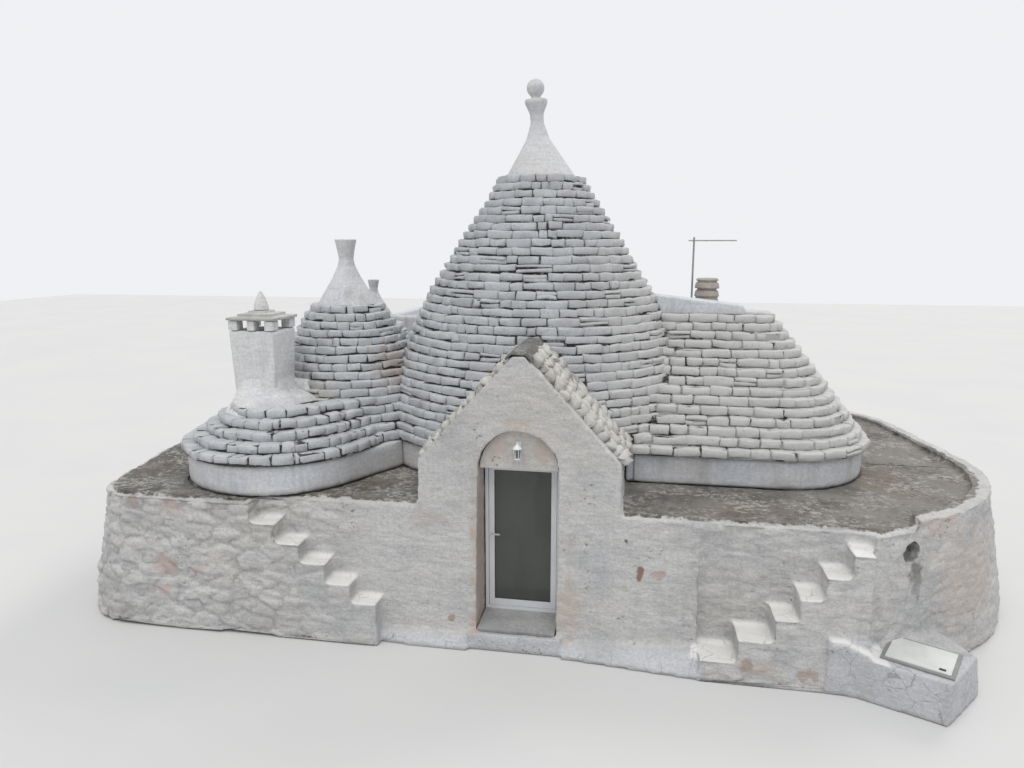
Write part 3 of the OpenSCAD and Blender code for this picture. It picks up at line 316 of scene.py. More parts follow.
@dataclass
class Shader(Sketch):
    """One material in the making: its tree, its main shader and what feeds it."""

    name: str
    roughness: float = 0.85
    metallic: float = 0.0

    def __post_init__(self) -> None:
        """Make the material with its main shader."""
        self.material = bpy.data.materials.new(self.name)
        self.material.use_nodes = True
        super().__init__(self.material.node_tree)
        self.tree.nodes.clear()
        self.main = self.add("ShaderNodeBsdfPrincipled", {"Roughness": self.roughness, "Metallic": self.metallic})
        self.put(self.add("ShaderNodeOutputMaterial"), 0, self.main.outputs[0])
        self.at = self.add("ShaderNodeTexCoord").outputs["Object"]
        self.ragged = None

    def group(self, tree: Tree, **values: object) -> Sockets:
        """Place a shared group with its own values.

        Args:
            tree: The shared group.
            values: Input values or sockets by name.

        Returns:
            The outputs of the placed group.
        """
        node = self.add("ShaderNodeGroup", node_tree=tree)
        self.put(node, "Vector", self.at)
        for key, value in values.items():
            self.put(node, key.replace("_", " "), value)
        return node.outputs

    def colour(self, value: object) -> None:
        """Set or link the base colour."""
        self.put(self.main, "Base Color", value)

    def bump(self, height: object, strength: float, distance: float) -> None:
        """Feed a height into the normal, after any bump that is there."""
        node = self.add("ShaderNodeBump", {"Height": height, "Strength": strength, "Distance": distance})
        socket = self.main.inputs["Normal"]
        if socket.is_linked:
            self.put(node, "Normal", socket.links[0].from_socket)
        self.put(self.main, "Normal", node.outputs[0])

    def near(self, centre: Point, reach: Point, soft: float = 0.5) -> Socket:
        """A soft ragged mask round a point.

        Args:
            centre: Middle of the mask in metres.
            reach: How far it goes along each axis.
            soft: Share of the reach over which it fades.

        Returns:
            The mask from 0 to 1.
        """
        if self.ragged is None:
            self.ragged = self.scaled(self.moved(self.noise_colour(self.at, 7.0, 3.0), HALF_BACK), (1.7, 1.7, 1.7))
        away = self.scaled(self.moved(self.at, tuple(-c for c in centre)), tuple(1.0 / r for r in reach))
        length = self.add("ShaderNodeVectorMath", {0: self.moved(away, self.ragged)}, operation="LENGTH").outputs[1]
        return self.remap(length, 1.0 - soft, 1.0, 1.0, 0.0)

    def attribute(self, name: str) -> Socket:
        """A number that the mesh carries."""
        return self.add("ShaderNodeAttribute", attribute_name=name).outputs["Fac"]

    def over(self, colour: object, mask: object, share: float, tone: object) -> Socket:
        """A tone laid over a colour through a share of a mask."""
        return self.blend(self.mul(mask, share), colour, tone)

    def spotted(self, colour: object, spots: tuple["WornSpot", ...]) -> object:
        """A colour with soft spots of other tones laid over it."""
        for spot in spots:
            colour = self.over(colour, self.near(spot.centre, spot.reach), spot.strength, spot.tone)
        return colour


@dataclass(frozen=True)
class WornSpot:
    """A soft patch of another tone: most where the wash has worn off and stone shows, some stains, and one painted
    shade in the spout hole.
    """

    centre: Point
    reach: Point
    tone: Colour
    strength: float = 0.8


@dataclass(frozen=True)
class Limewash:
    """Thick limewash on rubble, with streaks, pocks and worn stones, painted shade in the crevices between stones, a
    painted highlight on the stair treads, darker towards the foot, and the bare top of the terrace.
    """

    name: str = "limewashed_rubble"
    base: Colour = rgb(0.54, 0.536, 0.53)
    warm: Colour = rgb(0.545, 0.52, 0.495)
    cool: Colour = rgb(0.435, 0.44, 0.45)
    # Painted highlight for the stair treads.
    tread: Colour = rgb(0.74, 0.73, 0.71)
    plaster: Colour = rgb(0.53, 0.535, 0.56)
    # Painted shade for the crevices between stones.
    crevice_shade: Colour = rgb(0.2, 0.185, 0.175)
    pock: Colour = rgb(0.2, 0.18, 0.165)
    run: Colour = rgb(0.3, 0.295, 0.29)
    crack: Colour = rgb(0.27, 0.26, 0.29)
    foot_dark: Colour = rgb(0.26, 0.25, 0.235)
    spots: tuple[WornSpot, ...] = ()
    stone_size: float = 0.34
    paved: bool = True

    def build(self, groups: ShaderGroups) -> Material:
        """Make the material."""
        m = Shader(self.name, roughness=0.92)
        plain = m.attribute("plain")
        base, warm = (m.blend(plain, tone, self.plaster) for tone in (self.base, self.warm))
        wash = m.group(groups.mottle, Base=base, Warm=warm, Cool=self.cool, Size=1.0)
        rough = m.mul(unevenness(m, m.at), m.less(1.0, plain), clamp=True)
        edge, own = rubble(m, m.at, self.stone_size)
        tone = m.remap(own, 0.0, 1.0, 0.9, 1.07)
        colour = m.blend(rough, wash["Color"], m.blend(1.0, wash["Color"], m.grey(tone), "MULTIPLY"))
        # Painted shade in the crevices between rubble stones, in patches, where the rubble is rough.
        gate = m.remap(m.noise(m.at, 5.5, 3.0), 0.46, 0.62, 0.0, 0.42)
        joint = m.mul(m.remap(edge, 0.0, 0.11, 1.0, 0.0), gate)
        joint = m.mul(joint, rough)
        colour = m.blend(joint, colour, self.crevice_shade)
        pits = m.group(groups.pits, Scale=15.0, Cover=0.29)
        colour = m.over(colour, pits["Mask"], 0.6, self.pock)
        runs = m.group(groups.grime, Cover=0.4)
        colour = m.over(colour, runs["Mask"], 0.3, self.run)
        colour = m.spotted(colour, self.spots)
        # Painted highlight: the upward faces of the stairs are made lighter.
        colour = m.over(colour, m.attribute("tread"), 0.95, self.tread)
        cracks = m.group(groups.craze, Scale=3.2)
        colour = m.blend(m.mul(m.mul(cracks["Mask"], plain), 0.75), colour, self.crack)
        # Darker towards the foot of the wall.
        height = m.split(m.at)[2]
        foot = m.plus(height, m.mul(m.noise(m.at, 4.0, 4.0, 0.65), 0.12))
        colour = m.blend(m.remap(foot, 0.05, 0.13, 0.5, 0.0), colour, self.foot_dark)
        if self.paved:
            colour = self._paving(m, groups, colour)
        m.colour(colour)
        lumps = m.noise(m.scaled(m.at, (1.0, 1.0, 2.0)), 11.0, 4.0, 0.65)
        m.bump(m.mul(lumps, m.plus(rough, 0.6, clamp=True)), 0.75, 0.03)
        m.bump(wash["Height"], 0.6, 0.022)
        m.bump(pits["Height"], 0.8, 0.02)
        return m.material

    @staticmethod
    def _paving(m: Shader, groups: ShaderGroups, colour: object) -> object:
        """The bare stone top, inside a ragged washed rim."""
        stone = WeatheredStone("terrace_stone").tone(m, groups)
        ragged = m.mul(m.less(m.noise(m.at, 4.5, 5.0, 0.7), 0.5), 0.22)
        level = m.plus(m.attribute("rim"), ragged)
        return m.blend(m.remap(level, 0.075, 0.1), colour, stone)


@dataclass(frozen=True)
class SmoothPlaster:
    """Smooth white plaster on drums and caps, with faint runs and pocks, and painted shade along the foot where a foot
    height is given.
    """

    name: str
    base: Colour = rgb(0.58, 0.6, 0.63)
    warm: Colour = rgb(0.56, 0.54, 0.52)
    cool: Colour = rgb(0.48, 0.5, 0.54)
    runs: float = 0.42
    foot_z: float | None = None
    run: Colour = rgb(0.3, 0.3, 0.3)
    pock: Colour = rgb(0.25, 0.24, 0.22)
    foot_dark: Colour = rgb(0.3, 0.29, 0.26)

    def build(self, groups: ShaderGroups) -> Material:
        """Make the material."""
        m = Shader(self.name, roughness=0.85)
        wash = m.group(groups.mottle, Base=self.base, Warm=self.warm, Cool=self.cool, Size=0.8)
        runs = m.group(groups.grime, Cover=self.runs)
        colour = m.over(wash["Color"], runs["Mask"], 0.5, self.run)
        pits = m.group(groups.pits, Scale=14.0, Cover=0.22)
        colour = m.over(colour, pits["Mask"], 0.4, self.pock)
        # Painted shade along the foot of the plaster.
        if self.foot_z is not None:
            height = m.less(m.split(m.at)[2], self.foot_z)
            level = m.plus(height, m.mul(m.noise(m.at, 5.0, 4.0, 0.65), 0.16))
            colour = m.blend(m.remap(level, 0.08, 0.19, 0.7, 0.0), colour, self.foot_dark)
        m.colour(colour)
        m.bump(wash["Height"], 0.25, 0.012)
        return m.material


@dataclass(frozen=True)
class CourseStone:
    """Whitewashed roof stones, each with a tone of its own, and creamier towards +X as painted warm light."""

    name: str = "whitewashed_stone"
    light: Colour = rgb(0.53, 0.545, 0.565)
    dark: Colour = rgb(0.41, 0.42, 0.44)
    # Painted warm light on the +X side.
    warm_light_cream: Colour = rgb(0.56, 0.55, 0.53)
    crust: Colour = rgb(0.22, 0.21, 0.19)
    speck: Colour = rgb(0.3, 0.295, 0.29)
    bare_spots: tuple[WornSpot, ...] = ()

    def build(self, groups: ShaderGroups) -> Material:
        """Make the material."""
        m = Shader(self.name, roughness=0.9)
        tint = m.attribute("tint")
        wash = m.group(groups.mottle, Base=self.light, Warm=self.light, Cool=self.dark, Size=1.6)
        colour = m.blend(m.remap(tint, 0.45, 1.0, 0.0, 0.45), wash["Color"], self.dark)
        # Painted warm light: the stones turn creamier towards +X.
        side = m.plus(m.split(m.at)[0], m.mul(m.noise(m.at, 0.8, 3.0), 2.0))
        colour = m.blend(m.remap(side, 1.3, 3.2, 0.0, 0.7), colour, self.warm_light_cream)
        stain = m.group(groups.lichen, Scale=3.0, Cover=0.34)
        colour = m.over(colour, stain["Mask"], 0.5, self.crust)
        specks = m.noise(m.at, 19.0, 4.0, 0.75)
        colour = m.blend(m.remap(specks, 0.55, 0.7, 0.0, 0.6), colour, self.speck)
        colour = m.spotted(colour, self.bare_spots)
        m.colour(colour)
        m.bump(wash["Height"], 0.5, 0.02)
        m.bump(m.noise(m.at, 17.0, 5.0, 0.7), 0.5, 0.02)
        return m.material


@dataclass(frozen=True)
class DryJoint:
    """What shows between the roof stones: gaps painted dark as shade, here and there filled with wash."""

    name: str = "dry_joint_shade"
    low: float = 0.52
    high: float = 0.62
    tilt: float = 0.035
    filled: float = 0.9
    # Painted shade in the open joints.
    gap: Colour = rgb(0.05, 0.047, 0.043)
    fill: Colour = rgb(0.44, 0.44, 0.43)

    def build(self, groups: ShaderGroups) -> Material:
        """Make the material."""
        m = Shader(self.name, roughness=1.0)
        side = m.mul(m.split(m.at)[0], self.tilt, clamp=True)
        level = m.plus(side, m.noise(m.at, 3.2, 5.0, 0.7))
        filled = m.remap(level, self.low, self.high, 0.0, self.filled)
        # Gap colour is painted shade in the open joints; the fill is wash.
        m.colour(m.blend(filled, self.gap, self.fill))
        m.bump(m.noise(m.at, 30.0, 4.0), 0.6, 0.03)
        return m.material


@dataclass(frozen=True)
class WeatheredStone:
    """Bare weathered limestone with streaks and crusts of lichen."""

    name: str
    base: Colour = rgb(0.115, 0.108, 0.098)
    pale: Colour = rgb(0.21, 0.198, 0.18)
    brown: Colour = rgb(0.16, 0.125, 0.095)
    fleck: Colour = rgb(0.38, 0.37, 0.345)
    crust: Colour = rgb(0.065, 0.06, 0.055)

    def tone(self, m: Shader, groups: ShaderGroups) -> object:
        """The colour of the stone."""
        broad = m.noise(m.at, 1.2, 5.0, 0.65)
        warmer = m.remap(m.split(m.at)[0], 2.5, 6.0, 0.0, 0.22)
        colour = m.blend(m.remap(m.plus(broad, warmer), 0.42, 0.68), self.base, self.pale)
        brown = m.noise(m.moved(m.at, (4.0, 1.0, 0.0)), 0.9, 3.0)
        colour = m.blend(m.remap(brown, 0.5, 0.7, 0.0, 0.6), colour, self.brown)
        crust = m.group(groups.lichen, Scale=5.0, Cover=0.5)
        colour = m.over(colour, crust["Mask"], 0.75, self.crust)
        specks = m.noise(m.scaled(m.at, (6.0, 7.5, 7.5)), 1.7, 6.0, 0.85)
        patches = m.remap(m.noise(m.moved(m.at, (5.0, 2.0, 8.0)), 1.6, 3.0), 0.35, 0.65, -0.05, 0.05)
        return m.blend(m.remap(m.plus(specks, patches), 0.53, 0.6, 0.0, 0.85), colour, self.fleck)

    def build(self, groups: ShaderGroups) -> Material:
        """Make the material."""
        m = Shader(self.name, roughness=0.95)
        m.colour(self.tone(m, groups))
        m.bump(m.noise(m.scaled(m.at, (6.0, 12.0, 8.0)), 1.7, 6.0, 0.75), 0.8, 0.04)
        return m.material


@dataclass(frozen=True)
class PlainFinish:
    """A finish of one tone with fine variation, for metal, paint and small parts."""

    name: str
    tone: Colour
    roughness: float = 0.45
    metallic: float = 0.0
    coat: float = 0.0
    variation: float = 0.12
    grain: float = 60.0
    bump: float = 0.15
    wear: Colour = rgb(0.25, 0.23, 0.2)
    wear_cover: float = 0.0

    def build(self, groups: ShaderGroups) -> Material:
        """Make the material."""
        m = Shader(self.name, roughness=self.roughness, metallic=self.metallic)
        m.main.inputs["Coat Weight"].default_value = self.coat
        cloud = m.noise(m.at, 3.0, 4.0, 0.6)
        shade = tuple(c * (1.0 - self.variation) for c in self.tone[:3]) + (1.0,)
        colour = m.blend(m.remap(cloud, 0.3, 0.7), self.tone, shade)
        if self.wear_cover:
            worn = m.group(groups.lichen, Scale=8.0, Cover=self.wear_cover)
            colour = m.over(colour, worn["Mask"], 0.8, self.wear)
        m.colour(colour)
        sheen, dull = self.roughness * 0.85, min(1.0, self.roughness * 1.15)
        m.put(m.main, "Roughness", m.remap(m.noise(m.at, 25.0), 0.3, 0.7, sheen, dull))
        m.bump(m.noise(m.at, self.grain, 3.0), self.bump, 0.003)
        return m.material


@dataclass(frozen=True)
class WindowGlass:
    """Glass in front of a dark room, its olive tone partly a tint and partly a painted reflection, with darker patches.
    """

    name: str = "window_glass"
    # Olive grey, partly the glass's tint and partly a painted reflection.
    tone: Colour = rgb(0.30, 0.32, 0.29)
    clear: float = 0.78
    bend: float = 1.45

    def build(self, groups: ShaderGroups) -> Material:
        """Make the material."""
        m = Shader(self.name, roughness=0.03)
        m.main.inputs["Transmission Weight"].default_value = self.clear
        m.main.inputs["IOR"].default_value = self.bend
        # Darker patches across the pane, part of the painted reflection.
        reflection_patches = m.noise(m.scaled(m.at, (2.0, 2.0, 0.6)), 2.0, 4.0)
        dim = tuple(c * 0.8 for c in self.tone[:3]) + (1.0,)
        m.colour(m.blend(m.remap(reflection_patches, 0.35, 0.65), self.tone, dim))
        return m.material


@dataclass
class Finishes:
    """Every finish of the house, built once."""

    groups: ShaderGroups = field(default_factory=ShaderGroups)

    def __post_init__(self) -> None:
        """Build the materials."""
        g = self.groups
        pink = rgb(0.46, 0.33, 0.28)
        peach = rgb(0.47, 0.385, 0.33)
        brown = rgb(0.3, 0.2, 0.14)
        rust = rgb(0.3, 0.15, 0.09)
        near_black = rgb(0.05, 0.045, 0.04)
        grey = rgb(0.27, 0.265, 0.26)
        spots = (
            WornSpot((-5.25, -3.98, 1.82), (0.13, 0.5, 0.13), brown, 0.5),
            WornSpot((-4.66, -3.98, 1.76), (0.22, 0.5, 0.15), pink, 0.45),
            WornSpot((-4.76, -4.05, 0.92), (0.24, 0.5, 0.2), pink, 0.55),
            WornSpot((-4.28, -4.05, 0.91), (0.18, 0.5, 0.1), rgb(0.42, 0.31, 0.28), 0.5),
            WornSpot((-4.83, -4.08, 0.58), (0.2, 0.5, 0.12), pink, 0.45),
            WornSpot((-1.0, -3.66, 1.72), (0.3, 0.3, 0.13), rgb(0.46, 0.38, 0.355), 0.5),
            WornSpot((-0.67, -3.76, 0.37), (0.08, 0.3, 0.07), rust, 0.6),
            WornSpot((-0.34, -3.7, 0.31), (0.13, 0.3, 0.16), pink, 0.6),
            WornSpot((-0.33, -3.4, 1.1), (0.16, 0.5, 1.6), peach, 0.85),
            WornSpot((0.2, -3.45, 3.05), (0.62, 0.2, 0.2), peach, 0.7),
            WornSpot((0.9, -3.72, 0.6), (0.22, 0.4, 0.5), peach, 0.5),
            WornSpot((1.82, -3.69, 1.2), (0.055, 0.3, 0.13), rgb(0.22, 0.12, 0.09), 0.9),
            WornSpot((2.06, -3.69, 1.17), (0.15, 0.3, 0.08), rgb(0.38, 0.27, 0.24), 0.6),
            WornSpot((1.64, -3.66, 1.6), (0.035, 0.3, 0.035), near_black, 0.8),
            WornSpot((3.15, -4.1, 0.24), (0.12, 0.4, 0.1), brown, 0.6),
            WornSpot((3.36, -4.1, 0.2), (0.18, 0.4, 0.1), peach, 0.6),
            WornSpot((3.87, -4.1, 0.2), (0.16, 0.4, 0.1), brown, 0.55),
            WornSpot((6.1, -2.9, 1.1), (0.9, 0.9, 0.8), peach, 0.4),
            WornSpot((5.6, -3.25, 1.9), (0.5, 0.4, 0.16), rgb(0.5, 0.4, 0.36), 0.5),
            # Painted shade: near black inside the spout hole.
            WornSpot((5.09, -3.37, 1.62), (0.17, 0.17, 0.17), near_black, 1.0),
            WornSpot((5.21, -3.46, 1.38), (0.13, 0.45, 0.2), rgb(0.2, 0.19, 0.18), 0.9),
            WornSpot((5.24, -3.47, 1.16), (0.08, 0.45, 0.24), grey, 0.85),
        )
        valley = (
            WornSpot((-2.3, -1.25, 3.3), (0.45, 0.6, 0.6), rgb(0.4, 0.33, 0.295), 0.55),
            WornSpot((-3.5, -1.85, 3.3), (0.3, 0.4, 0.26), rgb(0.3, 0.29, 0.28), 0.6),
            WornSpot((-3.3, -2.0, 2.95), (0.5, 0.5, 0.35), rgb(0.46, 0.43, 0.38), 0.6),
        )
        self.limewash = Limewash(spots=spots).build(g)
        over_door = (
            WornSpot((-0.1, -3.4, 2.75), (0.2, 0.4, 0.3), peach, 0.5),
            WornSpot((0.5, -3.4, 2.7), (0.16, 0.4, 0.3), peach, 0.6),
        )
        # Creamier copy of the limewash for the lunette, its base also lightened as painted light against the shade of
        # its recess.
        self.lunette = Limewash("lunette_lit_plaster", rgb(0.56, 0.54, 0.51), spots=over_door, paved=False).build(g)
        self.stone = CourseStone(bare_spots=valley).build(g)
        self.porch_stone = CourseStone("cream_stone", light=rgb(0.6, 0.585, 0.55), dark=rgb(0.48, 0.45, 0.42)).build(g)
        self.joint = DryJoint().build(g)
        self.porch_joint = DryJoint("washed_joint_and_shade", low=0.3, high=0.5, filled=0.9, fill=rgb(0.42, 0.4, 0.37)).build(g)
        self.drum = SmoothPlaster("drum_plaster", foot_z=1.91).build(g)
        self.cap = SmoothPlaster("cap_plaster", base=rgb(0.6, 0.61, 0.63), runs=0.3).build(g)
        self.chimney = SmoothPlaster(
            "chimney_plaster", rgb(0.66, 0.665, 0.67), rgb(0.65, 0.63, 0.6), rgb(0.53, 0.54, 0.56), 0.36,
        ).build(g)
        self.room = SmoothPlaster("room_plaster", runs=0.45, foot_z=0.0).build(g)
        self.slab = WeatheredStone(
            "lichen_slab", rgb(0.12, 0.12, 0.115), rgb(0.22, 0.215, 0.205), rgb(0.15, 0.14, 0.13), rgb(0.32, 0.31, 0.3),
        ).build(g)
        self.flag = PlainFinish(
            "floor_flag", rgb(0.33, 0.335, 0.34), 0.7, variation=0.2, grain=14.0, bump=0.3, wear=rgb(0.42, 0.42, 0.41),
            wear_cover=0.5,
        ).build(g)
        self.inner = WeatheredStone(
            "inner_stone", rgb(0.4, 0.38, 0.34), rgb(0.55, 0.52, 0.47), rgb(0.42, 0.36, 0.28), rgb(0.5, 0.48, 0.44),
        ).build(g)
        self.slabs = SmoothPlaster(
            "chimney_slab", rgb(0.55, 0.55, 0.53), rgb(0.42, 0.4, 0.36), rgb(0.36, 0.36, 0.35), 0.6,
        ).build(g)
        self.white_metal = PlainFinish(
            "white_powder_coat", rgb(0.72, 0.74, 0.77), 0.35, coat=0.1, variation=0.06,
        ).build(g)
        self.glass = WindowGlass().build(g)
        self.steel = PlainFinish("satin_steel", rgb(0.6, 0.6, 0.6), 0.3, 1.0, variation=0.05, grain=200.0).build(g)
        self.concrete = PlainFinish(
            "cast_concrete", rgb(0.45, 0.41, 0.38), 0.9, variation=0.3, grain=40.0, bump=0.6, wear_cover=0.42,
        ).build(g)
        self.aerial = PlainFinish("weathered_aluminium", rgb(0.4, 0.4, 0.39), 0.55, 0.8, variation=0.2).build(g)
        self.lid = PlainFinish(
            "lid_paint", rgb(0.66, 0.68, 0.66), 0.5, variation=0.15, wear=rgb(0.3, 0.27, 0.22), wear_cover=0.3,
        ).build(g)
        self.grey_metal = PlainFinish("grey_frame", rgb(0.3, 0.3, 0.3), 0.7, 0.2, variation=0.25).build(g)
        self.rubber = PlainFinish("dark_gasket", rgb(0.03, 0.03, 0.03), 0.6).build(g)


def new_object(name: str, mesh: bpy.types.Mesh) -> Piece:
    """Put a mesh into the scene as an object at the origin."""
    piece = bpy.data.objects.new(name, mesh)
    bpy.context.scene.collection.objects.link(piece)
    return piece


def evaluated(piece: Piece) -> bpy.types.Mesh:
    """The mesh of an object with its modifiers applied."""
    graph = bpy.context.evaluated_depsgraph_get()
    graph.update()
    return bpy.data.meshes.new_from_object(piece.evaluated_get(graph))


def applied(piece: Piece) -> Piece:
    """Turn the modifiers of an object into plain mesh."""
    mesh = evaluated(piece)
    old = piece.data
    piece.modifiers.clear()
    piece.data = mesh
    bpy.data.meshes.remove(old)
    return piece


def finish_piece(piece: Piece, nodes: Names = (), body: str = HOUSE) -> Piece:
    """Tie a finished piece to the frame.

    Args:
        piece: The finished object.
        nodes: CAD nodes that it stands for.
        body: CAD body that it moves with.

    Returns:
        The same object.
    """
    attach(piece, body)
    if nodes:
        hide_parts(*nodes)
    LOG.info("%s: %d faces on %s", piece.name, len(piece.data.polygons), body)
    return piece


def dress(nodes: Names, material: Material) -> None:
    """Give CAD nodes a better material."""
    for name in nodes:
        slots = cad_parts[name].data.materials
        slots.clear()
        slots.append(material)


def copied(name: str, nodes: Names) -> Piece:
    """One object with merged copies of some CAD nodes' meshes."""
    bm = bmesh.new()
    for node in nodes:
        bm.from_mesh(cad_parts[node].data)
    bmesh.ops.remove_doubles(bm, verts=bm.verts, dist=1e-5)
    mesh = bpy.data.meshes.new(name)
    bm.to_mesh(mesh)
    bm.free()
    return new_object(name, mesh)


def numbers(items: Sockets, key: str, width: int = 3, kind: type = np.float64) -> np.ndarray:
    """One field of all items of a mesh, a row for each where the field is a vector."""
    flat = np.empty(len(items) * width, dtype=kind)
    items.foreach_get(key, flat)
    return flat.reshape(-1, width) if width > 1 else flat


class GeometryTree:
    """A tree of geometry nodes with named inputs, whose result is kept as plain mesh."""

    name: str
    sizes: dict[str, float]

    def __init__(self) -> None:
        """Build the tree from its inputs to its finish."""
        self.tree = bpy.data.node_groups.new(self.name, "GeometryNodeTree")
        face = self.tree.interface
        for key, kind in (("Geometry", "Geometry"), ("Finish", "Material")):
            face.new_socket(key, in_out="INPUT", socket_type=f"NodeSocket{kind}")
        for key, value in self.sizes.items():
            kind = "NodeSocketInt" if isinstance(value, int) else "NodeSocketFloat"
            face.new_socket(key, in_out="INPUT", socket_type=kind).default_value = value
        face.new_socket("Geometry", in_out="OUTPUT", socket_type="NodeSocketGeometry")
        s = Sketch(self.tree)
        inp = s.add("NodeGroupInput").outputs
        soft = s.add("GeometryNodeSetShadeSmooth", {"Geometry": self.form(s, inp)}).outputs[0]
        real = s.add("GeometryNodeRealizeInstances", {"Geometry": soft}).outputs[0]
        done = s.add("GeometryNodeSetMaterial", {"Geometry": real, "Material": inp["Finish"]}).outputs[0]
        s.put(s.add("NodeGroupOutput"), 0, done)

    def form(self, s: Sketch, inp: Sockets) -> Socket:
        """The nodes that make the shape, given by each kind of tree."""
        raise NotImplementedError

    def run(self, piece: Piece, material: Material, **sizes: float) -> Piece:
        """Run the tree over a piece and keep the plain result.

        Args:
            piece: The mesh that goes in.
            material: Finish of the whole piece.
            sizes: Values of the tree's named inputs, with underscores for spaces.

        Returns:
            The same object.
        """
        values = {key.replace("_", " "): value for key, value in sizes.items()} | {"Finish": material}
        modifier = piece.modifiers.new("tree", "NODES")
        modifier.node_group = self.tree
        for item in self.tree.interface.items_tree:
            if item.in_out == "INPUT" and item.name in values:
                modifier[item.identifier] = values[item.name]
        applied(piece)
        piece.data.materials.clear()
        piece.data.materials.append(material)
        piece.data.polygons.foreach_set("material_index", np.zeros(len(piece.data.polygons), dtype=np.int32))
        return piece


class Relief(GeometryTree):
    """Gives a dense mesh the soft relief of washed rubble."""

    name = "rubble_relief"
    sizes = {
        "Stone Depth": 0.02, "Streak Depth": 0.008, "Wave Depth": 0.02, "Pit Depth": 0.01, "Stone Size": 0.4,
        "Uneven": 0.0,
    }

    def form(self, s: Sketch, inp: Sockets) -> Socket:
        """Push each point in by stones, streaks, waves and pits, and never out."""
        at = s.add("GeometryNodeInputPosition").outputs[0]
        normal = s.add("GeometryNodeInputNormal").outputs[0]
        plain = s.stored("plain")
        edge, own = rubble(s, at, inp["Stone Size"])
        lumps = s.mul(s.less(s.noise(at, 7.0, 3.0, 0.6), 0.7), 1.1)
        stones = s.plus(s.remap(edge, 0.0, 0.26, -0.8, 0.0), s.less(own, 1.0))
        stones = s.mul(s.plus(stones, lumps), inp["Stone Depth"])
        pits = s.remap(s.noise(s.moved(at, (3.0, 1.0, 2.0)), 5.5, 3.0, 0.7), 0.52, 0.68, 0.0, -1.0)
        varied = s.mul(s.less(unevenness(s, at), 1.0), inp["Uneven"])
        level = s.remap(s.split(normal)[2], 0.7, 0.95, 0.0, s.mul(inp["Uneven"], 0.6))
        rough = s.mul(s.plus(varied, 1.0), s.less(1.0, s.math("MAXIMUM", plain, level)))
        total = s.mul(s.plus(stones, s.mul(pits, inp["Pit Depth"])), rough)
        streaks = s.less(s.noise(s.scaled(at, (3.2, 3.2, 9.5)), 1.0, 4.0, 0.68), 0.66)
        streaks = s.mul(s.mul(streaks, inp["Streak Depth"]), s.less(1.0, s.mul(plain, 0.8)))
        waves = s.mul(s.less(s.noise(at, 0.9, 2.0), 0.65), inp["Wave Depth"])
        total = s.math("MINIMUM", s.plus(s.plus(total, streaks), waves), 0.0)
        inputs = {"Geometry": inp["Geometry"], "Offset": s.times(normal, total)}
        return s.add("GeometryNodeSetPosition", inputs).outputs[0]


@dataclass
class Remould:
    """Turns crisp CAD solids into one soft hand made mass."""

    voxel: float
    smooth: int = 2
    hidden: Callable[[np.ndarray], np.ndarray] | None = None
    keep_hidden: float = 0.04

    def build(self, name: str, nodes: Names) -> Piece:
        """Remesh merged copies of CAD nodes.

        Args:
            name: Name of the piece.
            nodes: CAD nodes that it is made from.

        Returns:
            The new piece, with no material yet.
        """
        piece = copied(name, nodes)
        remesh = piece.modifiers.new("remesh", "REMESH")
        remesh.mode = "VOXEL"
        remesh.voxel_size = self.voxel * 1.0
        soften = piece.modifiers.new("soften", "SMOOTH")
        soften.factor = 0.5
        soften.iterations = self.smooth
        applied(piece)
        if self.hidden is not None:
            self._thin(piece)
        return piece

    def _thin(self, piece: Piece) -> None:
        """Use few faces where nothing is seen."""
        mask = self.hidden(numbers(piece.data.vertices, "co"))
        group = piece.vertex_groups.new(name="spare")
        group.add(np.nonzero(mask)[0].tolist(), 1.0, "REPLACE")
        thin = piece.modifiers.new("thin", "DECIMATE")
        thin.vertex_group = group.name
        thin.vertex_group_factor = 100.0
        thin.ratio = 1.0 - float(mask.mean()) * (1.0 - self.keep_hidden)
        applied(piece)
        piece.vertex_groups.clear()


@dataclass(frozen=True)
class Plane:
    """A cutting plane: a point, a normal and the side that stays."""

    at: Point
    normal: Point


def cut_piece(source: bmesh.types.BMesh, name: str, planes: tuple[Plane, ...], material: Material) -> Piece:
    """Cut a closed part out of a mass, with its soft normals kept at the cuts.

    Args:
        source: The whole mass with a float vector layer named soft.
        name: Name of the new piece.
        planes: Cuts, each of which keeps what lies behind its normal.
        material: Finish of the piece.

    Returns:
        The new closed piece.
    """
    bm = source.copy()
    cap_layer = bm.faces.layers.int.new("cap")
    for plane in planes:
        geometry = bm.verts[:] + bm.edges[:] + bm.faces[:]
        where = {"plane_co": plane.at, "plane_no": plane.normal, "clear_outer": True}
        cut = bmesh.ops.bisect_plane(bm, geom=geometry, dist=1e-6, **where)
        edges = [e for e in cut["geom_cut"] if isinstance(e, bmesh.types.BMEdge) and e.is_boundary]
        filled = bmesh.ops.triangle_fill(bm, use_beauty=True, use_dissolve=False, edges=edges, normal=plane.normal)
        for item in filled["geom"]:
            if isinstance(item, bmesh.types.BMFace):
                item[cap_layer] = 1
    mesh = bpy.data.meshes.new(name)
    bm.to_mesh(mesh)
    bm.free()
    mesh.materials.append(material)
    return new_object(name, keep_normals(mesh))


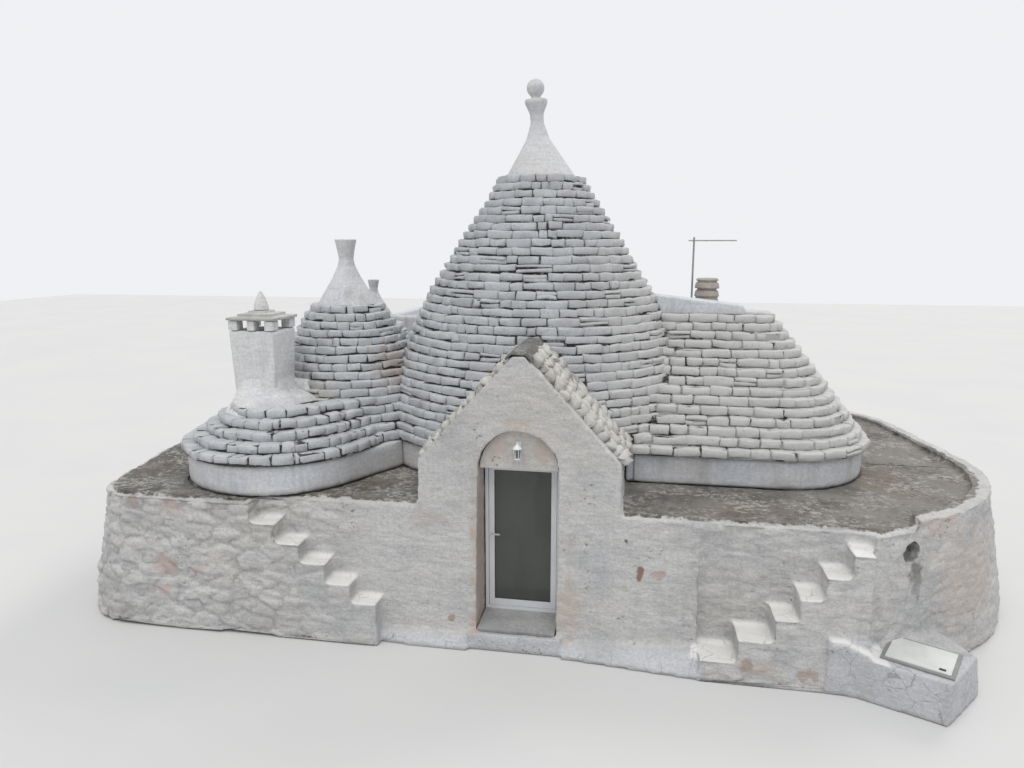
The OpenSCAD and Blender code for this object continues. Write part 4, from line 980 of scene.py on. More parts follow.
def keep_normals(mesh: bpy.types.Mesh) -> bpy.types.Mesh:
    """Use the stored soft normals on all but the cut faces."""
    normals = numbers(mesh.attributes["soft"].data, "vector")[numbers(mesh.loops, "vertex_index", 1, np.int32)]
    size = numbers(mesh.polygons, "loop_total", 1, np.int32)
    on_cap = np.repeat(numbers(mesh.attributes["cap"].data, "value", 1, np.int32), size).astype(bool)
    normals[on_cap] = np.repeat(numbers(mesh.polygons, "normal"), size, axis=0)[on_cap]
    lengths = np.linalg.norm(normals, axis=1, keepdims=True)
    normals = normals / np.where(lengths < 1e-9, 1.0, lengths)
    mesh.polygons.foreach_set("use_smooth", np.ones(len(mesh.polygons), dtype=bool))
    for layer in ("soft", "cap"):
        mesh.attributes.remove(mesh.attributes[layer])
    mesh.normals_split_custom_set(normals.tolist())
    return mesh


def lookup(z: np.ndarray | float, table: Table) -> np.ndarray | float:
    """Radius at a height from a table of heights and radii."""
    return np.interp(z, [row[0] for row in table], [row[1] for row in table])


@dataclass
class Body:
    """Sizes of the house that several parts of the scene use, in metres."""

    eave_z: float = 2.36
    course_h: float = 0.125
    main_profile: Table = (
        (2.35, 2.79), (3.11, 2.51), (3.76, 2.24), (4.49, 1.89), (5.03, 1.545), (5.56, 1.21), (6.09, 0.845),
        (6.46, 0.65),
    )
    side_at: Pair = (-3.25, -0.7)
    side_profile: Table = ((2.35, 1.84), (3.11, 1.33), (3.86, 0.85), (4.36, 0.52))
    rear_at: Pair = (-3.75, 1.9)
    rear_profile: Table = ((2.35, 1.19), (3.06, 0.85), (3.76, 0.5))
    lobe_at: Pair = (-3.68, -2.335)
    lobe_profile: Table = ((2.36, 1.47), (2.985, 0.56))
    lobe_top: float = 2.91
    stack_at: Pair = (-3.99, -2.3)
    stack_profile: Table = ((2.61, 0.52), (3.07, 0.31), (4.1, 0.365))
    stack_top: float = 4.16
    porch_x: float = 0.2
    porch_w: float = 2.75
    apex_w: float = 0.18
    apex_z: float = 3.97
    shoulder_z: float = 2.56
    face_y: float = -3.6112
    gable_t: float = 0.26
    wing_x: float = 5.15
    wing_y: float = 2.2
    wing_corner: float = 1.4
    wing_courses: int = 15
    wing_step_x: float = 0.095
    wing_step_y: float = 0.13
    eave_out: float = 0.04

    @staticmethod
    def in_cone(place: Point, at: Pair, profile: Table, grow: float, top: float | None = None) -> bool:
        """Whether a point lies inside a round form.

        Args:
            place: The point.
            at: Middle of the form in plan.
            profile: Pairs of height and radius, from the foot up.
            grow: How much wider the form is taken.
            top: Where it ends, if below the profile's end.

        Returns:
            True inside.
        """
        x, y, z = place
        end = profile[-1][0] if top is None else top
        return math.hypot(x - at[0], y - at[1]) < lookup(z, profile) + grow and z < end

    def in_main(self, x: float, y: float, z: float, grow: float) -> bool:
        """Whether a point lies inside the main cone."""
        return self.in_cone((x, y, z), (0.0, 0.0), self.main_profile, grow)

    def in_side(self, x: float, y: float, z: float, grow: float) -> bool:
        """Whether a point lies inside the side cone."""
        return self.in_cone((x, y, z), self.side_at, self.side_profile, grow)

    def in_rear(self, x: float, y: float, z: float, grow: float) -> bool:
        """Whether a point lies inside the rear cone."""
        return self.in_cone((x, y, z), self.rear_at, self.rear_profile, grow)

    def in_lobe(self, x: float, y: float, z: float, grow: float) -> bool:
        """Whether a point lies inside the lobe round the chimney."""
        return self.in_cone((x, y, z), self.lobe_at, self.lobe_profile, grow, self.lobe_top)

    def gable_z(self, x: float) -> float:
        """Height of the porch roof at an X."""
        away = max(0.0, abs(x - self.porch_x) - self.apex_w / 2)
        return self.apex_z - away * (self.apex_z - self.shoulder_z) / (self.porch_w / 2 - self.apex_w / 2)

    def in_porch(self, x: float, y: float, z: float, grow: float) -> bool:
        """Whether a point lies under the porch roof."""
        return y < 0.0 and abs(x - self.porch_x) < self.porch_w / 2 + grow and z < self.gable_z(x) + grow

    def in_wing(self, x: float, y: float, z: float, grow: float) -> bool:
        """Whether a point lies inside the wing roof."""
        step = (z - self.eave_z) / self.course_h
        half = self.wing_y + self.eave_out - step * self.wing_step_y
        return x > 1.0 and 0.0 <= step < self.wing_courses and abs(y) < half + grow

    def in_chimney(self, x: float, y: float, z: float, grow: float) -> bool:
        """Whether a point lies inside the chimney or its foot."""
        half = lookup(z, self.stack_profile) + grow
        return z < self.stack_top and abs(x - self.stack_at[0]) < half and abs(y - self.stack_at[1]) < half


@dataclass
class StoneLayout:
    """Places of stones, gathered before the tree lays them.

    Cover names the forms of the body that hide stones, with how much wider each is taken.
    """

    seed: int
    body: Body
    cover: dict[str, float] = field(default_factory=dict)
    places: list[Point] = field(default_factory=list)
    turns: list[Point] = field(default_factory=list)
    sizes: list[Point] = field(default_factory=list)

    def __post_init__(self) -> None:
        """Start the fixed draw of random numbers."""
        self.rng = np.random.default_rng(self.seed)

    def add(self, place: Point, turn: Point, size: Point) -> None:
        """Note one stone by its middle, its turn and its size."""
        self.places.append(place)
        self.turns.append(turn)
        self.sizes.append(size)

    def shows(self, x: float, y: float, z: float) -> bool:
        """Whether no other form covers a point."""
        return not any(getattr(self.body, f"in_{form}")(x, y, z, grow) for form, grow in self.cover.items())

    def course(
        self, outline: np.ndarray, closed: bool, z: float, height: float, long: Pair,
        depth: float = 0.22, split: float = 0.07, open_joint: float = 1.0,
    ) -> None:
        """Lay stones along one course.

        Args:
            outline: Plan of the course face, running anticlockwise.
            closed: Whether the outline is a ring.
            z: Height of the bed joint.
            height: Height of the course.
            long: Shortest and longest stone.
            depth: How deep the stones reach in.
            split: Share of stones that are two thin layers.
            open_joint: How wide the upright joints are, 1 being usual.
        """
        points = np.vstack([outline, outline[:1]]) if closed else outline
        run = np.concatenate([[0.0], np.cumsum(np.linalg.norm(np.diff(points, axis=0), axis=1))])
        total = run[-1]
        s = 0.0
        while s < total - 0.06:
            length = self.rng.uniform(*long)
            if self.rng.random() < 0.2:
                length *= self.rng.uniform(0.45, 0.7)
            if total - s - length < long[0] * 0.6:
                length = total - s
            stops = (s, s + length / 2, s + length)
            ends = [np.array([np.interp(v, run, points[:, i]) for i in (0, 1)]) for v in stops]
            along = ends[2] - ends[0]
            chord = float(np.linalg.norm(along))
            turn = math.atan2(along[1], along[0])
            out = np.array([math.sin(turn), -math.cos(turn)])
            face = (ends[0] + ends[2]) / 4 + ends[1] / 2
            s += length
            gap = self.rng.uniform(0.002, 0.024) * open_joint if self.rng.random() > 0.22 else -0.008
            cut = self.rng.uniform(0.4, 0.6)
            layers = ((0.0, cut), (cut, 1.0)) if length > 0.2 and self.rng.random() < split else ((0.0, 1.0),)
            washed = min(1.0, max(0.0, (float(face[0]) - 0.9) / 1.6))
            for low, high in layers:
                bed = self.rng.uniform(0.004, 0.026) * (1.0 - 0.45 * washed)
                if self.rng.random() < 0.15:
                    bed = -0.004
                tall = height * (high - low) - bed
                lift = z + height * high - tall / 2 + self.rng.uniform(0.004, 0.018)
                push = self.rng.uniform(0.016, 0.046)
                middle = face + out * (push - depth / 2)
                swings = ((0.06, 0.0), (0.035, 0.0), (0.035, turn))
                tilt = tuple(self.rng.uniform(-most, most) + base for most, base in swings)
                if self.shows(float(face[0]), float(face[1]), lift):
                    self.add((float(middle[0]), float(middle[1]), lift), tilt, (chord - gap, depth, tall))


class StoneTree(GeometryTree):
    """Lays one rounded stone on each point."""

    name = "laid_stones"
    sizes = {"Rounding": 0.09, "Chip Depth": 0.016, "Chip Scale": 8.0, "Fine Depth": 0.006, "Seed": 1}

    def form(self, s: Sketch, inp: Sockets) -> Socket:
        """Put a stone on each point by its turn and size, and chip it."""
        rotation = s.add("FunctionNodeEulerToRotation", {0: s.stored("turn", "FLOAT_VECTOR")}).outputs[0]
        inputs = {
            "Points": inp["Geometry"], "Instance": self._block(s, inp), "Rotation": rotation,
            "Scale": s.stored("size", "FLOAT_VECTOR"),
        }
        laid = s.add("GeometryNodeInstanceOnPoints", inputs).outputs[0]
        draw = s.add("FunctionNodeRandomValue", {"Seed": inp["Seed"]}, data_type="FLOAT").outputs[1]
        inputs = {"Geometry": laid, "Name": "tint", "Value": draw}
        marked = s.add("GeometryNodeStoreNamedAttribute", inputs, data_type="FLOAT", domain="INSTANCE").outputs[0]
        real = s.add("GeometryNodeRealizeInstances", {"Geometry": marked}).outputs[0]
        return self._chip(s, inp, real)

    @staticmethod
    def _block(s: Sketch, inp: Sockets) -> Socket:
        """The stone that is repeated: a small block with flat faces and soft edges."""
        cube = s.add("GeometryNodeMeshCube", {"Vertices X": 5, "Vertices Y": 4, "Vertices Z": 4}).outputs[0]
        axes = s.split(s.add("GeometryNodeInputPosition").outputs[0])
        spread = ((0.16, 0.42, 0.4), (0.3, 0.35, 0.6), (0.3, 0.35, 1.0))
        outer = [s.math("POWER", s.mul(s.math("ABSOLUTE", p), 2.0), 8.0) for p in axes]
        placed = []
        for i, (share, base, soft) in enumerate(spread):
            eased = s.plus(s.mul(axes[i], share), s.mul(s.math("SIGN", axes[i]), base))
            others = s.plus(outer[(i + 1) % 3], outer[(i + 2) % 3])
            drawn = s.mul(s.mul(others, inp["Rounding"]), soft)
            placed.append(s.mul(eased, s.less(1.0, drawn)))
        rounded = s.add("ShaderNodeCombineXYZ", {0: placed[0], 1: placed[1], 2: placed[2]}).outputs[0]
        return s.add("GeometryNodeSetPosition", {"Geometry": cube, "Position": rounded}).outputs[0]

    @staticmethod
    def _chip(s: Sketch, inp: Sockets, stones: Socket) -> Socket:
        """Push the laid stones out of true, each in its own way."""
        at = s.add("GeometryNodeInputPosition").outputs[0]
        own = s.moved(at, s.scaled(s.grey(s.stored("tint")), (37.0, 91.0, 0.0)))
        broad = s.noise_colour(own, inp["Chip Scale"], 1.0)
        fine = s.noise_colour(own, 24.0, 1.0)
        first = s.times(s.moved(broad, HALF_BACK), s.mul(inp["Chip Depth"], 4.0))
        second = s.times(s.moved(fine, HALF_BACK), s.mul(inp["Fine Depth"], 4.0))
        return s.add("GeometryNodeSetPosition", {"Geometry": stones, "Offset": s.moved(first, second)}).outputs[0]

    def lay(self, name: str, layout: StoneLayout, material: Material, **sizes: float) -> Piece:
        """Lay all stones of a layout as one plain mesh.

        Args:
            name: Name of the piece.
            layout: The gathered stones.
            material: Finish of the stones.
            sizes: Values of the tree's named inputs, with underscores for spaces.

        Returns:
            The new piece.
        """
        mesh = bpy.data.meshes.new(name)
        mesh.from_pydata(layout.places, [], [])
        for key, rows in (("turn", layout.turns), ("size", layout.sizes)):
            layer = mesh.attributes.new(key, "FLOAT_VECTOR", "POINT")
            layer.data.foreach_set("vector", np.array(rows, dtype=np.float32).ravel())
        return self.run(new_object(name, mesh), material, Seed=layout.seed, **sizes)


def ring(centre: Pair, radius: float, steps: int = 96, start: float = 0.0) -> np.ndarray:
    """A circle in plan, anticlockwise from a start angle."""
    angle = start + np.linspace(0.0, 2.0 * math.pi, steps, endpoint=False)
    return np.stack([centre[0] + radius * np.cos(angle), centre[1] + radius * np.sin(angle)], axis=1)


def hull(points: np.ndarray) -> np.ndarray:
    """Convex hull of points in plan, anticlockwise."""
    rows = sorted(map(tuple, points.tolist()))

    def half(sequence: list[Pair]) -> list[Pair]:
        """One chain of the hull."""
        chain: list[Pair] = []
        for x, y in sequence:
            while len(chain) > 1:
                (x0, y0), (x1, y1) = chain[-2:]
                if (x1 - x0) * (y - y0) > (y1 - y0) * (x - x0):
                    break
                chain.pop()
            chain.append((x, y))
        return chain[:-1]

    return np.array(half(rows) + half(rows[::-1]))


@dataclass
class Roofs:
    """The stone courses of the cones, the lobe and the wing."""

    body: Body
    finishes: Finishes
    tree: StoneTree
    lobe_courses: int = 5
    lobe_side_r: float = 1.44
    wing_least_r: float = 0.14

    def build(self) -> None:
        """Lay every roof."""
        f = self.finishes
        # The course faces behind the stones carry the joint material with its painted shade.
        dress(("main_roof", "side_roof", "lobe_roof", "rear_cone", "wing_roof"), f.joint)
        dress(("porch_roof",), f.porch_joint)
        layouts = {
            "main_cone_stones": self.main, "side_cone_stones": self.side, "lobe_stones": self.lobe,
            "rear_cone_stones": self.rear, "wing_stones": self.wing,
        }
        for name, layout in layouts.items():
            finish_piece(self.tree.lay(name, layout(), f.stone))
        chunky = self.tree.lay("porch_roof_stones", self.porch(), f.porch_stone, Rounding=0.22, Chip_Depth=0.04)
        finish_piece(chunky)

    def _cone(self, layout: StoneLayout, centre: Pair, profile: Table, long: Pair) -> StoneLayout:
        """Lay the stepped courses of one cone.

        Args:
            layout: The layout that takes the stones.
            centre: Middle of the cone in plan.
            profile: Pairs of height and radius.
            long: Shortest and longest stone at the foot.

        Returns:
            The same layout.
        """
        rise = profile[-1][0] - self.body.eave_z
        count = int(rise / self.body.course_h)
        step = rise / count
        for i in range(count):
            z = self.body.eave_z + i * step
            radius = float(lookup(z, profile))
            share = min(1.0, 0.42 + radius / 2.4)
            outline = ring(centre, radius, start=layout.rng.uniform(0.0, 6.28))
            layout.course(outline, True, z, step, (long[0] * share, long[1] * share))
        return layout

    def main(self) -> StoneLayout:
        """Stones of the main cone."""
        layout = StoneLayout(11, self.body, {"porch": -0.07, "side": -0.12, "wing": -0.12})
        return self._cone(layout, (0.0, 0.0), self.body.main_profile, (0.25, 0.52))

    def side(self) -> StoneLayout:
        """Stones of the side cone."""
        layout = StoneLayout(12, self.body, {"main": -0.1, "rear": -0.1, "chimney": 0.0, "lobe": -0.15})
        return self._cone(layout, self.body.side_at, self.body.side_profile, (0.24, 0.46))

    def lobe(self) -> StoneLayout:
        """Stones of the lobe round the chimney."""
        b = self.body
        layout = StoneLayout(13, b, {"main": -0.06, "side": -0.06, "chimney": -0.04})
        for i in range(self.lobe_courses):
            z = b.eave_z + i * b.course_h
            round_stack = ring(b.lobe_at, float(lookup(z, b.lobe_profile)))
            outline = hull(np.vstack([ring(b.side_at, self.lobe_side_r), round_stack]))
            layout.course(outline, True, z, b.course_h, (0.18, 0.33), depth=0.36, split=0.0, open_joint=1.7)
        return layout

    def rear(self) -> StoneLayout:
        """Stones of the small rear cone."""
        layout = StoneLayout(14, self.body, {"main": -0.06, "side": -0.06})
        return self._cone(layout, self.body.rear_at, self.body.rear_profile, (0.2, 0.42))

    def wing(self) -> StoneLayout:
        """Stones of the hipped wing."""
        b = self.body
        layout = StoneLayout(15, b, {"main": -0.06})
        quarter = np.linspace(0.0, math.pi / 2, 14)
        for i in range(b.wing_courses):
            end = b.wing_x + b.eave_out - i * b.wing_step_x
            half = b.wing_y + b.eave_out - i * b.wing_step_y
            radius = max(self.wing_least_r, b.wing_corner - i * (b.wing_corner - self.wing_least_r) / b.wing_courses)
            across = end - radius + radius * np.sin(quarter)
            front = np.stack([across, -(half - radius) - radius * np.cos(quarter)], axis=1)
            back = front[::-1] * np.array([1.0, -1.0])
            outline = np.vstack([[[1.5, -half]], front, back, [[1.5, half]]])
            layout.course(outline, False, b.eave_z + i * b.course_h, b.course_h, (0.24, 0.5), depth=0.28)
        return layout

    def porch(self) -> StoneLayout:
        """Chunky stones on both slopes of the porch."""
        b = self.body
        layout = StoneLayout(16, b)
        draw = layout.rng.uniform
        run = b.porch_w / 2 - b.apex_w / 2
        rise = b.apex_z - b.shoulder_z
        slope = math.atan2(rise, run)
        length = math.hypot(run, rise)
        for side in (-1.0, 1.0):
            s = 0.06
            while s < length + 0.02:
                size = draw(0.1, 0.165)
                y = b.face_y + b.gable_t - 0.05 + draw(-0.04, 0.04)
                while y < -0.9:
                    deep = draw(0.13, 0.27)
                    middle = s + size / 2
                    x = b.porch_x + side * (b.apex_w / 2 + middle * math.cos(slope))
                    z = b.apex_z - middle * math.sin(slope)
                    if not b.in_main(x, y + deep / 2, z, -0.05):
                        lift = draw(-0.02, 0.025) - (0.035 if side < 0 else 0.0)
                        place = (x + side * lift * math.sin(slope), y + deep / 2, z + lift * math.cos(slope) - 0.01)
                        turn = (draw(-0.16, 0.16), side * slope + draw(-0.2, 0.2), draw(-0.3, 0.3))
                        layout.add(place, turn, (size + 0.01, deep - 0.01, 0.16))
                    y += deep
                s += size
        return layout


def in_discs(x: np.ndarray, y: np.ndarray, discs: tuple[tuple[Pair, float], ...]) -> np.ndarray:
    """Mask of the places in plan that lie in any disc, each given by its middle and radius."""
    return np.any([np.hypot(x - at[0], y - at[1]) < radius for at, radius in discs], axis=0)


def in_boxes(x: np.ndarray, y: np.ndarray, boxes: tuple[Extent, ...]) -> np.ndarray:
    """Mask of the places in plan that lie in any box, each given by its low and high X and Y."""
    return np.any([(x > x0) & (x < x1) & (y > y0) & (y < y1) for x0, x1, y0, y1 in boxes], axis=0)


@dataclass
class BaseMass:
    """The thick wall with its stairs, the porch front and the terrace, as one washed mass."""

    body: Body
    finishes: Finishes
    relief: Relief
    voxel: float = 0.03
    front_y: float = -0.62
    porch_x0: float = -1.175
    porch_x1: float = 1.575
    top_z: float = 1.905
    plain_y: float = -3.83
    coping_rim: float = 0.1
    rooms: tuple[Extent, ...] = (
        (1.5, 4.5, -1.3, 1.3), (-4.39, -3.59, -2.7, -0.6), (-3.0, -1.5, -1.12, -0.28), (-0.5, 0.5, 1.5, 3.3),
        (-0.48, 0.88, -3.0, -1.5),
    )
    wing_cover: Extent = (1.5, 4.4, -2.1, 2.1)
    room_cover: Extent = (-4.0, 0.6, 3.2, math.inf)
    flights: Table = ((-3.6, -1.0), (2.5, 4.75))
    left_nodes: Names = ("front_wall_left", "left_wing_front_wall", "left_stair", "left_treads")
    right_nodes: Names = ("front_wall_right", "right_wing_front_wall", "right_stair", "right_treads", "cistern_block")
    porch_nodes: Names = ("porch_left_pier", "porch_right_pier", "porch_gable", "front_kerb", "doorstep")
    rear_nodes: Names = ("rear_wall_left", "rear_wall_right", "left_wing_rear_wall", "right_wing_rear_wall")
    top_nodes: Names = ("terrace_paving", "wall_coping")

    def hidden(self, co: np.ndarray) -> np.ndarray:
        """Mask of vertices that are inside rooms, under roofs or on the ground."""
        x, y, z = co.T
        b = self.body
        low = z < 1.895
        rooms = in_discs(x, y, (((0.0, 0.0), 2.0), (b.side_at, 1.05))) | in_boxes(x, y, self.rooms)
        under = in_discs(x, y, (((0.0, 0.0), 2.68), (b.side_at, 1.72), (b.lobe_at, 1.35), (b.rear_at, 1.08)))
        under |= in_boxes(x, y, (self.wing_cover, self.room_cover))
        from_porch = np.abs(x - b.porch_x)
        porch = (from_porch < 1.3) & (y < -0.6) & (y > -3.55) & (z > 1.9) & ((from_porch > 0.6) | (y > -3.0))
        return (z < 0.03) | (low & rooms) | (~low & under & (z < 2.06)) | porch

    def build(self) -> None:
        """Make the mass, carve its relief and cut it into pieces."""
        nodes = self.left_nodes + self.right_nodes + self.porch_nodes + self.rear_nodes + self.top_nodes
        mass = Remould(self.voxel, 1, self.hidden).build("base_mass", nodes)
        self._mark(mass.data)
        self.relief.run(
            mass, self.finishes.limewash, Stone_Depth=0.036, Streak_Depth=0.034, Wave_Depth=0.03, Pit_Depth=0.012,
            Stone_Size=0.34, Uneven=1.0,
        )
        mesh = mass.data
        LOG.info("base mass: %d faces", len(mesh.polygons))
        normals = numbers(mesh.vertices, "normal").ravel()
        mesh.attributes.new("soft", "FLOAT_VECTOR", "POINT").data.foreach_set("vector", normals)
        whole = bmesh.new()
        whole.from_mesh(mesh)
        bpy.data.objects.remove(mass)
        self._cut(whole)
        whole.free()

    def _mark(self, mesh: bpy.types.Mesh) -> None:
        """Note how far in from the terrace edge a point lies, where the wall is plain plaster, and the treads that get
        a painted highlight.
        """
        co = numbers(mesh.vertices, "co")
        count = len(co)
        x, y, z = co.T
        porch = (x > self.porch_x0 - 0.03) & (x < self.porch_x1 + 0.03) & (y < self.front_y)
        edge = np.nonzero((z > 1.8) & (z < 1.88) & ~self.hidden(co) & ~porch)[0]
        tree = KDTree(len(edge))
        for i in edge:
            tree.insert((x[i], y[i], 0.0), int(i))
        tree.balance()
        rim = np.zeros(count)
        for i in np.nonzero((z > 1.915) & ~porch)[0]:
            rim[i] = tree.find((x[i], y[i], 0.0))[2] - (self.coping_rim if z[i] > 1.985 else 0.0)
        plain = np.zeros(count)
        for node, grow in (("front_kerb", 0.02), ("cistern_block", 0.03), ("doorstep", 0.03)):
            low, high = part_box(node)
            inside = in_boxes(x, y, ((low[0] - grow, high[0] + grow, low[1] - grow, self.plain_y),))
            plain[inside & (z < high[2] + grow)] = 1.0
        # Upward faces of the stair flights, the mask for the painted highlight on the treads.
        level = np.clip((numbers(mesh.vertices, "normal")[:, 2] - 0.3) / 0.4, 0.0, 1.0)
        stairs = np.any([(x > low) & (x < high) for low, high in self.flights], axis=0)
        tread = level * (stairs & (y < -3.1) & (z > 0.2) & (z < 1.86))
        plain = np.maximum(plain, tread * 0.6)
        for name, values in (("rim", rim), ("plain", plain), ("tread", tread)):
            mesh.attributes.new(name, "FLOAT", "POINT").data.foreach_set("value", values)

    def _cut(self, whole: bmesh.types.BMesh) -> None:
        """Cut the mass at the porch sides, behind the rooms and under the paving."""
        before, behind = (Plane((0, self.front_y, 0), (0, side, 0)) for side in (1, -1))
        below, above = (Plane((0, 0, self.top_z), (0, 0, side)) for side in (1, -1))
        left, not_left = (Plane((self.porch_x0, 0, 0), (side, 0, 0)) for side in (1, -1))
        not_right, right = (Plane((self.porch_x1, 0, 0), (side, 0, 0)) for side in (1, -1))
        parts = (
            ("front_left_wall", (before, left, below), Slot.WALL, self.left_nodes),
            ("front_right_wall", (before, right, below), Slot.WALL, self.right_nodes),
            ("porch_front", (before, not_left, not_right), Slot.WALL, self.porch_nodes),
            ("rear_wall", (behind, below), Slot.WALL, self.rear_nodes),
            ("terrace_left", (before, left, above), Slot.DARK, self.top_nodes[:1]),
            ("terrace_right", (before, right, above), Slot.DARK, self.top_nodes[1:]),
            ("terrace_rear", (behind, above), Slot.DARK, ()),
        )
        for name, planes, slot, nodes in parts:
            finish_piece(cut_piece(whole, name, planes, self.finishes.limewash), nodes)


@dataclass(frozen=True)
class SoftPart:
    """CAD nodes that become one hand made piece."""

    name: str
    nodes: Names
    voxel: float
    finish: str
    slot: Slot
    wave: float = 0.01
    streak: float = 0.004
    stone: float = 0.0
    pit: float = 0.0
    smooth: int = 2


@dataclass
class PlasterWork:
    """Drums, caps, chimney and the rear room, softened by hand."""

    body: Body
    finishes: Finishes
    relief: Relief
    parts: tuple[SoftPart, ...] = (
        SoftPart("main_drum_plaster", ("main_drum",), 0.05, "drum", Slot.PLASTER, wave=0.02),
        SoftPart("side_drum_plaster", ("side_drum",), 0.05, "drum", Slot.PLASTER, wave=0.02),
        SoftPart("wing_drum_plaster", ("wing_drum",), 0.05, "drum", Slot.PLASTER, wave=0.02),
        SoftPart("main_cone_cap", ("main_cap", "main_pinnacle"), 0.019, "cap", Slot.PLASTER, wave=0.01, streak=0.005),
        SoftPart("side_cone_cap", ("side_cap",), 0.019, "cap", Slot.PLASTER, wave=0.012, streak=0.005),
        SoftPart("rear_cone_cap_plaster", ("rear_cone_cap",), 0.02, "cap", Slot.PLASTER, wave=0.01),
        SoftPart(
            "chimney_body", ("chimney_stack", "chimney_shoulder"), 0.024, "chimney", Slot.PLASTER, wave=0.02,
            streak=0.006,
        ),
        SoftPart("chimney_pier_row", ("chimney_piers",), 0.012, "chimney", Slot.PLASTER),
        SoftPart("chimney_slab_pile", ("chimney_slabs",), 0.013, "slabs", Slot.DARK, wave=0.012, streak=0.01, smooth=1),
        SoftPart("chimney_pine_cone", ("chimney_finial",), 0.01, "chimney", Slot.PLASTER, wave=0.01),
        SoftPart("wing_crest_plaster", ("wing_crest",), 0.024, "drum", Slot.PLASTER, wave=0.04, streak=0.01, smooth=4),
        SoftPart("porch_ridge_slab", ("porch_ridge",), 0.018, "slab", Slot.DARK, wave=0.02, streak=0.01, pit=0.01),
        SoftPart("rear_room_plaster", ("rear_room_walls", "rear_room_roof"), 0.07, "room", Slot.PLASTER, wave=0.03),
        SoftPart("cowl_rings", ("flue_cowl",), 0.015, "concrete", Slot.CONCRETE, wave=0.004, streak=0.002, smooth=1),
    )
    rear_r: float = 1.162
    rear_z: Pair = (1.88, 2.352)
    flare_steps: int = 64
    lobe_slope: tuple[Pair, Pair] = ((0.56, 1.47), (3.02, 2.4))
    flare: tuple[Point, ...] = (
        (0.5, -0.4, 1.0), (0.74, -0.3, 1.0), (0.76, -0.16, 1.0), (0.7, -0.03, 1.0), (0.62, 0.06, 0.9), (0.54, 0.1, 0.6),
        (0.46, 0.14, 0.35), (0.4, 0.2, 0.15), (0.36, 0.28, 0.0), (0.335, 0.4, 0.0), (0.25, 0.42, 0.0), (0.1, 0.42, 0.0),
    )

    def build(self) -> None:
        """Make every part in turn."""
        for part in self.parts:
            piece = Remould(part.voxel, part.smooth).build(part.name, part.nodes)
            self.relief.run(
                piece, getattr(self.finishes, part.finish), Stone_Depth=part.stone, Streak_Depth=part.streak,
                Wave_Depth=part.wave, Pit_Depth=part.pit, Stone_Size=0.3,
            )
            finish_piece(piece, part.nodes)
        self._rear_drum()
        self._flare()

    def _rear_drum(self) -> None:
        """Plaster skin round the foot of the rear cone."""
        (x, y), (low, high), count = self.body.rear_at, self.rear_z, 6
        rows = ((self.rear_r + 0.008 * math.sin(2.4 * k), low + (high - low) * k / count) for k in range(count + 1))
        pen = MeshPen("rear_drum_plaster")
        pen.turned((x, y, 0.0), tuple(rows), 72)
        finish_piece(pen.done(self.finishes.drum, round_sides=True))

    def _flare(self) -> None:
        """Plaster that runs from the foot of the chimney over the lobe's stones."""
        pen = MeshPen("chimney_flare")
        pen.skin([[self._flare_point(k, *row) for k in range(self.flare_steps)] for row in self.flare])
        piece = pen.done(self.finishes.chimney)
        dense = piece.modifiers.new("dense", "SUBSURF")
        dense.levels = dense.render_levels = 1
        dense.subdivision_type = "SIMPLE"
        soften = piece.modifiers.new("soften", "SMOOTH")
        soften.iterations = 4
        applied(piece)
        sizes = {"Stone_Depth": 0.0, "Streak_Depth": 0.03, "Wave_Depth": 0.03, "Pit_Depth": 0.0}
        finish_piece(self.relief.run(piece, self.finishes.chimney, **sizes))

    def _flare_point(self, index: int, half: float, lift: float, level: float) -> Point:
        """A point on one ring of the flare.

        Args:
            index: Number of the point on its ring.
            half: Half the width of the ring.
            lift: Height over the slope of the lobe.
            level: How round and ragged the ring is, from 0 for the chimney's square.

        Returns:
            The place in metres.
        """
        a = 2.0 * math.pi * index / self.flare_steps
        c, v = math.cos(a), math.sin(a)
        square = (abs(c) ** 5 + abs(v) ** 5) ** -0.2
        ragged = 1.0 + 0.09 * level * math.sin(3.0 * a + 1.0) + 0.06 * level * math.sin(7.0 * a)
        reach = half * (square * (1.0 - level) + level) * ragged
        x, y = self.body.stack_at[0] + reach * c, self.body.stack_at[1] + reach * v
        away = math.hypot(x - self.body.lobe_at[0], y - self.body.lobe_at[1])
        return (x, y, float(np.interp(away, *self.lobe_slope)) + lift)


